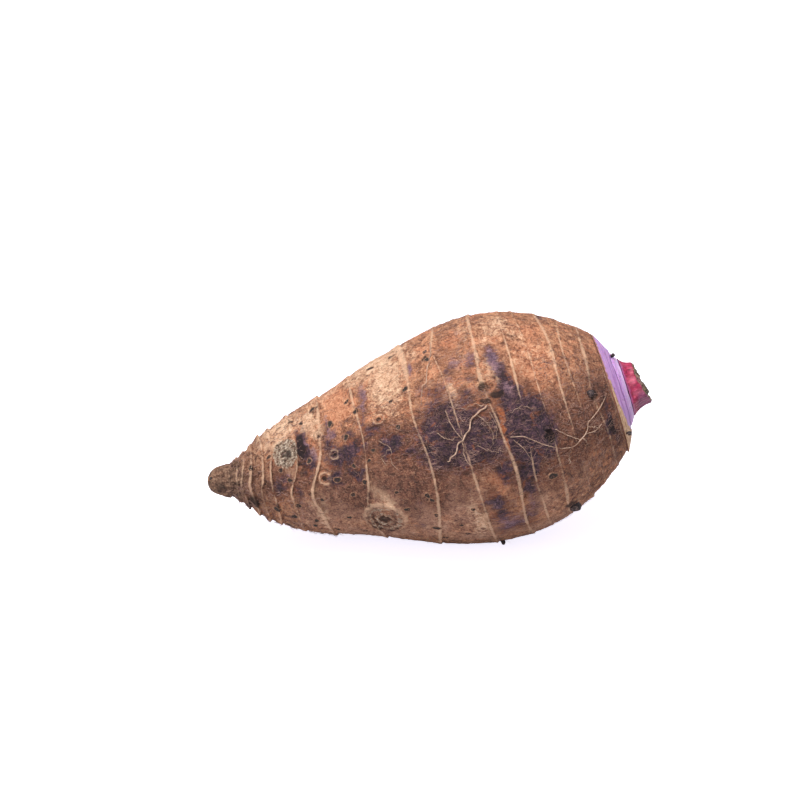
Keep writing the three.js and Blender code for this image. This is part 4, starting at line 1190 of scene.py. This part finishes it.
def make_pits():
    rng = np.random.default_rng(11)
    pits = list(PITS)
    for _ in range(MORE_PITS):
        pits.append((rng.uniform(*PIT_SPAN), rng.uniform(*HIDDEN_SIDE), rng.uniform(0.5, 1.1)))
    # Each pit's profile: (share of its radius, height off the skin, painted hole shade)
    profile = [(1.7, -0.3, 0), (1.5, 0.02, 0), (1.34, 0.2, 0), (1.2, 0.22, 0.1), (1.08, 0.1, 0.9),
               (0.6, 0.04, 1), (0.05, 0.02, 1)]
    sides = 18
    at, turn, radius = (np.array(v)[:, None, None] for v in zip(*pits))
    share, height, dark = (np.array(v)[None, :, None] for v in zip(*profile))
    t = (np.arange(sides) / sides * 2 * np.pi)[None, None]
    k = np.arange(len(pits))[:, None, None]
    r = radius * share * (1 + 0.16 * np.sin(2 * t + k) + 0.1 * np.sin(3 * t + 2 * k))
    dd = at + r * np.cos(t) * (1 + 0.35 * rng.random(len(pits))[:, None, None])
    aa = np.radians(turn) + r * np.sin(t) / np.maximum(girth(dd), 4)
    points = skin_point(dd, aa, height * np.minimum(1, radius) + 0 * t).reshape(-1, 3)
    painted_hole_shade = (dark + 0 * dd).ravel()
    faces = [grid_faces(len(profile), sides)[:, ::-1] + n * len(profile) * sides for n in range(len(pits))]
    obj = make_object("root_pits", points, np.vstack(faces), pit_material())
    add_value(obj, "painted_hole_shade", painted_hole_shade)


# Rootlets: (node it stands for, thickness at its foot and tip,
# [(distance, degrees round, height off the skin), ...])
ROOTLETS = [
    ("rootlet_1", 0.4, 0.24, [(127, 52, 0.2), (123, 54, 0.7), (119, 57, 0.9), (116, 62, 1.0),
                              (113, 65.5, 0.9), (110, 69, 0.8), (106.5, 73.5, 1.0), (104.5, 75, 0.8)]),
    ("rootlet_2", 0.22, 0.12, [(113, 66, 0.6), (112.3, 70, 0.7), (112, 74, 0.6), (113, 78, 0.6),
                               (114.5, 80, 0.3)]),
    ("rootlet_3", 0.17, 0.13, [(133, 70, 0.2), (138, 71.5, 0.8), (142, 75, 1.0), (147, 80, 0.9),
                               (152, 84, 0.8), (158, 86, 0.6), (161, 85.5, 0.5), (164, 83, 0.8),
                               (168, 85, 0.8), (172, 83, 0.3)]),
    ("rootlet_4", 0.2, 0.12, [(159.5, 86.5, 0.5), (162, 84.5, 0.8), (165, 81, 0.9), (166.5, 77, 0.8),
                              (168, 76, 0.8), (172, 73, 0.9), (176, 67, 0.8), (178, 63, 0.4)]),
    ("rootlet_5", 0.22, 0.12, [(109, 5, 0.3), (107, 15, 0.5), (105.5, 20, 0.5), (103, 28, 0.4),
                               (100.5, 33, 0.5), (99, 42, 0.3)]),
    ("rootlet_6", 0.4, 0.2, [(98, -40, 0.3), (106, -50, 1.0), (112, -64, 1.2), (110, -80, 0.6)]),
    ("rootlet_7", 0.35, 0.2, [(62, -92, 0.3), (70, -100, 1.0), (80, -104, 1.0), (88, -116, 0.5)]),
]
BRANCHES = [
    (0.2, 0.1, [(108.5, 49, 0.3), (109.3, 55, 0.6), (110.5, 60, 0.8), (113, 66, 0.7)]),
    (0.18, 0.1, [(152, 73, 0.4), (155, 77, 0.8), (159, 82, 0.8), (161.5, 85, 0.6)]),
    (0.16, 0.08, [(154, 95, 0.2), (155, 90, 0.5), (156.5, 85.5, 0.5)]),
    (0.2, 0.08, [(162, 84, 0.7), (163.5, 88, 0.6), (162.5, 91, 0.3)]),
    (0.16, 0.08, [(121, 55, 0.6), (124, 59, 0.7), (126, 66, 0.5), (125, 72, 0.4)]),
    (0.16, 0.08, [(126, 52, 0.4), (121, 50, 0.6), (117, 51, 0.5), (112, 48, 0.3)]),
    (0.14, 0.07, [(127, 55, 0.4), (128.5, 62, 0.7), (127, 70, 0.5)]),
    (0.14, 0.07, [(134, 72, 0.5), (137, 77, 0.5), (139, 84, 0.4)]),
    (0.14, 0.07, [(146, 60, 0.3), (141, 57, 0.5), (136, 59, 0.4)]),
    (0.14, 0.07, [(166, 80, 0.6), (170, 84, 0.7), (173, 90, 0.3)]),
    (0.15, 0.07, [(103, 60, 0.3), (107, 64, 0.5), (112, 64, 0.5)]),
    (0.14, 0.07, [(118, 70, 0.3), (123, 74, 0.5), (129, 76, 0.4)]),
    (0.13, 0.06, [(79, 55, 0.3), (83, 62, 0.6), (82, 70, 0.5), (84, 76, 0.3)]),
    (0.13, 0.06, [(83, 62, 0.4), (79, 66, 0.5), (80, 72, 0.4)]),
]


def root_material():
    n = Nodes("rootlet")
    spot = n.new("ShaderNodeTexCoord").outputs["Object"]
    coarse = n.noise(spot, 260, 3, 0.6)
    fine = n.noise(spot, 1600, 3, 0.6)
    tone = n.mixed((coarse, 0.6), (fine, 0.4))
    colour = n.colours(tone, [(0.36, 106, 78, 66), (0.47, 156, 124, 106), (0.60, 204, 172, 150)])
    return n.finish(colour, n.ramp(fine, 0.35, 0.65, 0.55, 0.85), n.bump(fine, 0.6, 0.0003))


# A direction that no strand runs along, to lay its rings out from
SIDEWAYS = [0.13, 0.31, 0.94]


def tube_points(path, radii, sides):
    """Rings of points round a path."""
    heading_ = unit(np.gradient(path, axis=0))
    side = unit(np.cross(heading_, SIDEWAYS))
    other = np.cross(heading_, side)
    t = np.arange(sides) / sides * 2 * np.pi
    ring = side[:, None] * np.cos(t)[:, None] + other[:, None] * np.sin(t)[:, None]
    return path[:, None] + ring * np.asarray(radii)[:, None, None]


def rootlet_mesh(thick, thin, way, seed, sides=8):
    """Points and faces of a wavy rootlet that lies over the skin."""
    fine = catmull_rom(way, 14)
    share = np.linspace(0, 1, len(fine))
    rng = np.random.default_rng(seed)
    wave = sum(rng.uniform(0.05, 0.3) * np.sin(share * rng.uniform(8, 40) + rng.uniform(0, 6))
               for _ in range(4))
    a = np.radians(fine[:, 1]) + wave / np.maximum(girth(fine[:, 0]), 4)
    path = skin_point(fine[:, 0] + 0.5 * wave, a) + skin_normal(fine[:, 0], a) * (fine[:, 2] + 0.1)[:, None]
    radii = (thick + (thin - thick) * share) * (1 + 0.15 * np.sin(share * 50 + seed))
    radii[-1] *= 0.2
    radii[0] *= 0.6
    return tube_points(path, radii, sides).reshape(-1, 3), grid_faces(len(path), sides)


def make_rootlets():
    material = root_material()
    for k, (node, thick, thin, way) in enumerate(ROOTLETS):
        points, faces = rootlet_mesh(thick, thin, way, k)
        obj = make_object(f"{node}_strand", points, faces, material)
        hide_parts(node)
    points = []
    faces = []
    count = 0
    for k, (thick, thin, way) in enumerate(BRANCHES):
        p, f = rootlet_mesh(thick, thin, way, 40 + k, 6)
        points.append(p)
        faces.append(f + count)
        count += len(p)
    fine_roots = make_object("fine_roots", np.vstack(points), np.vstack(faces), material)


# Fibres: (how many, distance from and to, degrees from and to, length, how far they lift,
# spread of their direction)
FUZZ = [
    (650, 97, 131, 40, 82, 5.0, 0.5, 0.45),
    (240, 130, 150, 48, 95, 4.5, 0.5, 0.5),
    (950, 150, 179, 30, 130, 4.5, 0.5, 0.9),
    (380, 112, 179, -40, 30, 3.0, 0.5, 0.9),
    (240, 95, 130, -30, 38, 3.0, 0.4, 0.8),
    (320, 50, 95, 30, 75, 3.5, 0.4, 0.5),
    (160, 50, 98, -40, 30, 2.4, 0.3, 0.9),
    (260, 8, 48, -30, 140, 2.6, 0.5, 0.5),
    (200, 9, 50, 90, 160, 2.8, 1.0, 0.8),
    (120, 9, 50, -40, 20, 2.0, 0.8, 0.8),
    (160, 50, 130, 80, 150, 2.6, 0.3, 0.9),
    (220, 130, 178, 95, 150, 3.0, 0.5, 0.9),
    (700, 20, 178, 150, 320, 3.5, 0.5, 0.9),
]
STRAND_STEPS = 5


def fibre_material():
    n = Nodes("skin_fibre")
    spot = n.new("ShaderNodeTexCoord").outputs["Object"]
    coarse = n.noise(spot, 160, 3, 0.6)
    fine = n.noise(spot, 1500, 2, 0.5)
    colour = n.colours(n.mixed((coarse, 0.6), (fine, 0.4)), [
        (0.40, 78, 54, 50), (0.48, 128, 94, 86), (0.58, 186, 148, 134),
    ])
    return n.finish(colour, n.ramp(fine, 0.35, 0.65, 0.6, 0.85), n.bump(fine, 0.5, 0.00004))


def make_fibres():
    rng = np.random.default_rng(5)
    sides = 3
    strands = []
    for count, d0, d1, a0, a1, length, lift, spread in FUZZ:
        d = rng.uniform(d0, d1, count)
        turn = np.radians(rng.uniform(a0, a1, count))
        r = girth(d)
        course = rng.normal(0, spread, count) + np.where(rng.random(count) < 0.5, np.pi, 0)
        bend = rng.normal(0, 0.9, count)
        long = length * rng.lognormal(-0.15, 0.45, count)
        rise = lift * rng.lognormal(-0.3, 0.6, count)
        share = np.linspace(0, 1, STRAND_STEPS)
        way = course[:, None] + bend[:, None] * share
        step = long[:, None] / STRAND_STEPS
        dd = d[:, None] + np.cumsum(np.cos(way) * step, axis=1)
        aa = turn[:, None] + np.cumsum(np.sin(way) * step, axis=1) / r[:, None]
        dd = np.clip(dd, 4, 179.5)
        loose = (rng.random(count) < 0.3)[:, None]
        height = 0.05 + rise[:, None] * np.where(loose, share, np.sin(share * np.pi) * 0.5)
        path = skin_point(dd, aa) + skin_normal(dd, aa) * height[..., None]
        strands.append((path, rng.uniform(0.05, 0.1, count) * (1.7 if d1 < 60 else 1)))
    points = []
    for paths, thick in strands:
        head = unit(np.gradient(paths, axis=1))
        side = unit(np.cross(head, SIDEWAYS))
        other = np.cross(head, side)
        t = np.arange(sides) / sides * 2 * np.pi
        taper = np.linspace(1, 0.35, STRAND_STEPS)
        radius = thick[:, None, None, None] * taper[None, :, None, None]
        ring = side[:, :, None] * np.cos(t)[:, None] + other[:, :, None] * np.sin(t)[:, None]
        points.append((paths[:, :, None] + ring * radius).reshape(-1, 3))
    points = np.vstack(points)
    per = STRAND_STEPS * sides
    count = len(points) // per
    faces = (grid_faces(STRAND_STEPS, sides)[None] + (np.arange(count) * per)[:, None, None]).reshape(-1, 4)
    obj = make_object("skin_fibres", points, faces, fibre_material())


make_buds()
make_crumbs()
make_pits()
make_rootlets()
make_fibres()

# ---------------------------------------------------------------- light, floor and camera

VIEW_TURN = math.radians(-5.7)
VIEW_RISE = math.radians(25)
VIEW_FROM = 1.1
FIELD = 0.352
AIM_HEIGHT = 0.045
AIM_LEFT = 0.01257
AIM_ABOVE = 0.01697
FLOOR_GAP = 0.0004
SENSOR = 36

scene = bpy.context.scene
scene.view_settings.view_transform = "Standard"
scene.view_settings.look = "None"

world = bpy.data.worlds.new("studio")
world.use_nodes = True
sky = world.node_tree
background = sky.nodes["Background"]
seen = sky.nodes.new("ShaderNodeLightPath")
brightness = sky.nodes.new("ShaderNodeMapRange")
brightness.inputs["To Min"].default_value = 0.46
brightness.inputs["To Max"].default_value = 1.0
sky.links.new(seen.outputs["Is Camera Ray"], brightness.inputs["Value"])
sky.links.new(brightness.outputs["Result"], background.inputs["Strength"])
background.inputs["Color"].default_value = (1, 1, 1, 1)
scene.world = world


def make_light(name, place, size, power, colour):
    light = bpy.data.lights.new(name, "AREA")
    light.shape = "DISK"
    light.size = size
    light.energy = power
    light.color = colour
    obj = bpy.data.objects.new(name, light)
    obj.location = place
    obj.rotation_euler = (Vector((0, 0, 0.05)) - Vector(place)).to_track_quat("-Z", "Y").to_euler()
    scene.collection.objects.link(obj)


make_light("overhead", (-0.15, -0.15, 1.1), 0.7, 17.0, (1.0, 0.985, 0.96))
make_light("front_left", (-0.8, -0.9, 0.7), 0.5, 3.0, (1.0, 0.98, 0.95))


def make_floor():
    n = Nodes("studio_floor")
    speckle = n.noise(n.new("ShaderNodeTexCoord").outputs["Object"], 60)
    colour = n.mix(speckle, (0.6, 0.59, 0.62, 1), (0.62, 0.61, 0.64, 1))
    material = n.finish(colour, 0.9, None, Specular_IOR_Level=0.1)
    n.shader.inputs["Emission Color"].default_value = (0.86, 0.83, 0.93, 1)
    n.link(n.new("ShaderNodeLightPath").outputs["Is Camera Ray"], n.shader.inputs["Emission Strength"])
    mesh = bpy.data.meshes.new("floor")
    reach = 4.0
    corners = [(-reach, -reach, 0), (reach, -reach, 0), (reach, reach, 0), (-reach, reach, 0)]
    mesh.from_pydata(corners, [], [(0, 1, 2, 3)])
    mesh.materials.append(material)
    floor = bpy.data.objects.new("floor", mesh)
    floor.location.z = -FLOOR_GAP
    scene.collection.objects.link(floor)


make_floor()

flat = Vector((-math.sin(VIEW_TURN), math.cos(VIEW_TURN), 0))
forward = flat * math.cos(VIEW_RISE) - Vector((0, 0, math.sin(VIEW_RISE)))
right = Vector((math.cos(VIEW_TURN), math.sin(VIEW_TURN), 0))
above = right.cross(forward)
middle = (cad_low + cad_high) / 2
target = Vector((middle.x, middle.y, AIM_HEIGHT)) - right * AIM_LEFT + above * AIM_ABOVE
camera_data = bpy.data.cameras.new("camera")
camera_data.sensor_width = SENSOR
camera_data.lens = SENSOR * VIEW_FROM / FIELD
camera = bpy.data.objects.new("camera", camera_data)
camera.location = target - forward * VIEW_FROM
camera.rotation_euler = Matrix((right, above, -forward)).transposed().to_euler()
scene.collection.objects.link(camera)
scene.camera = camera

bpy.context.view_layer.update()
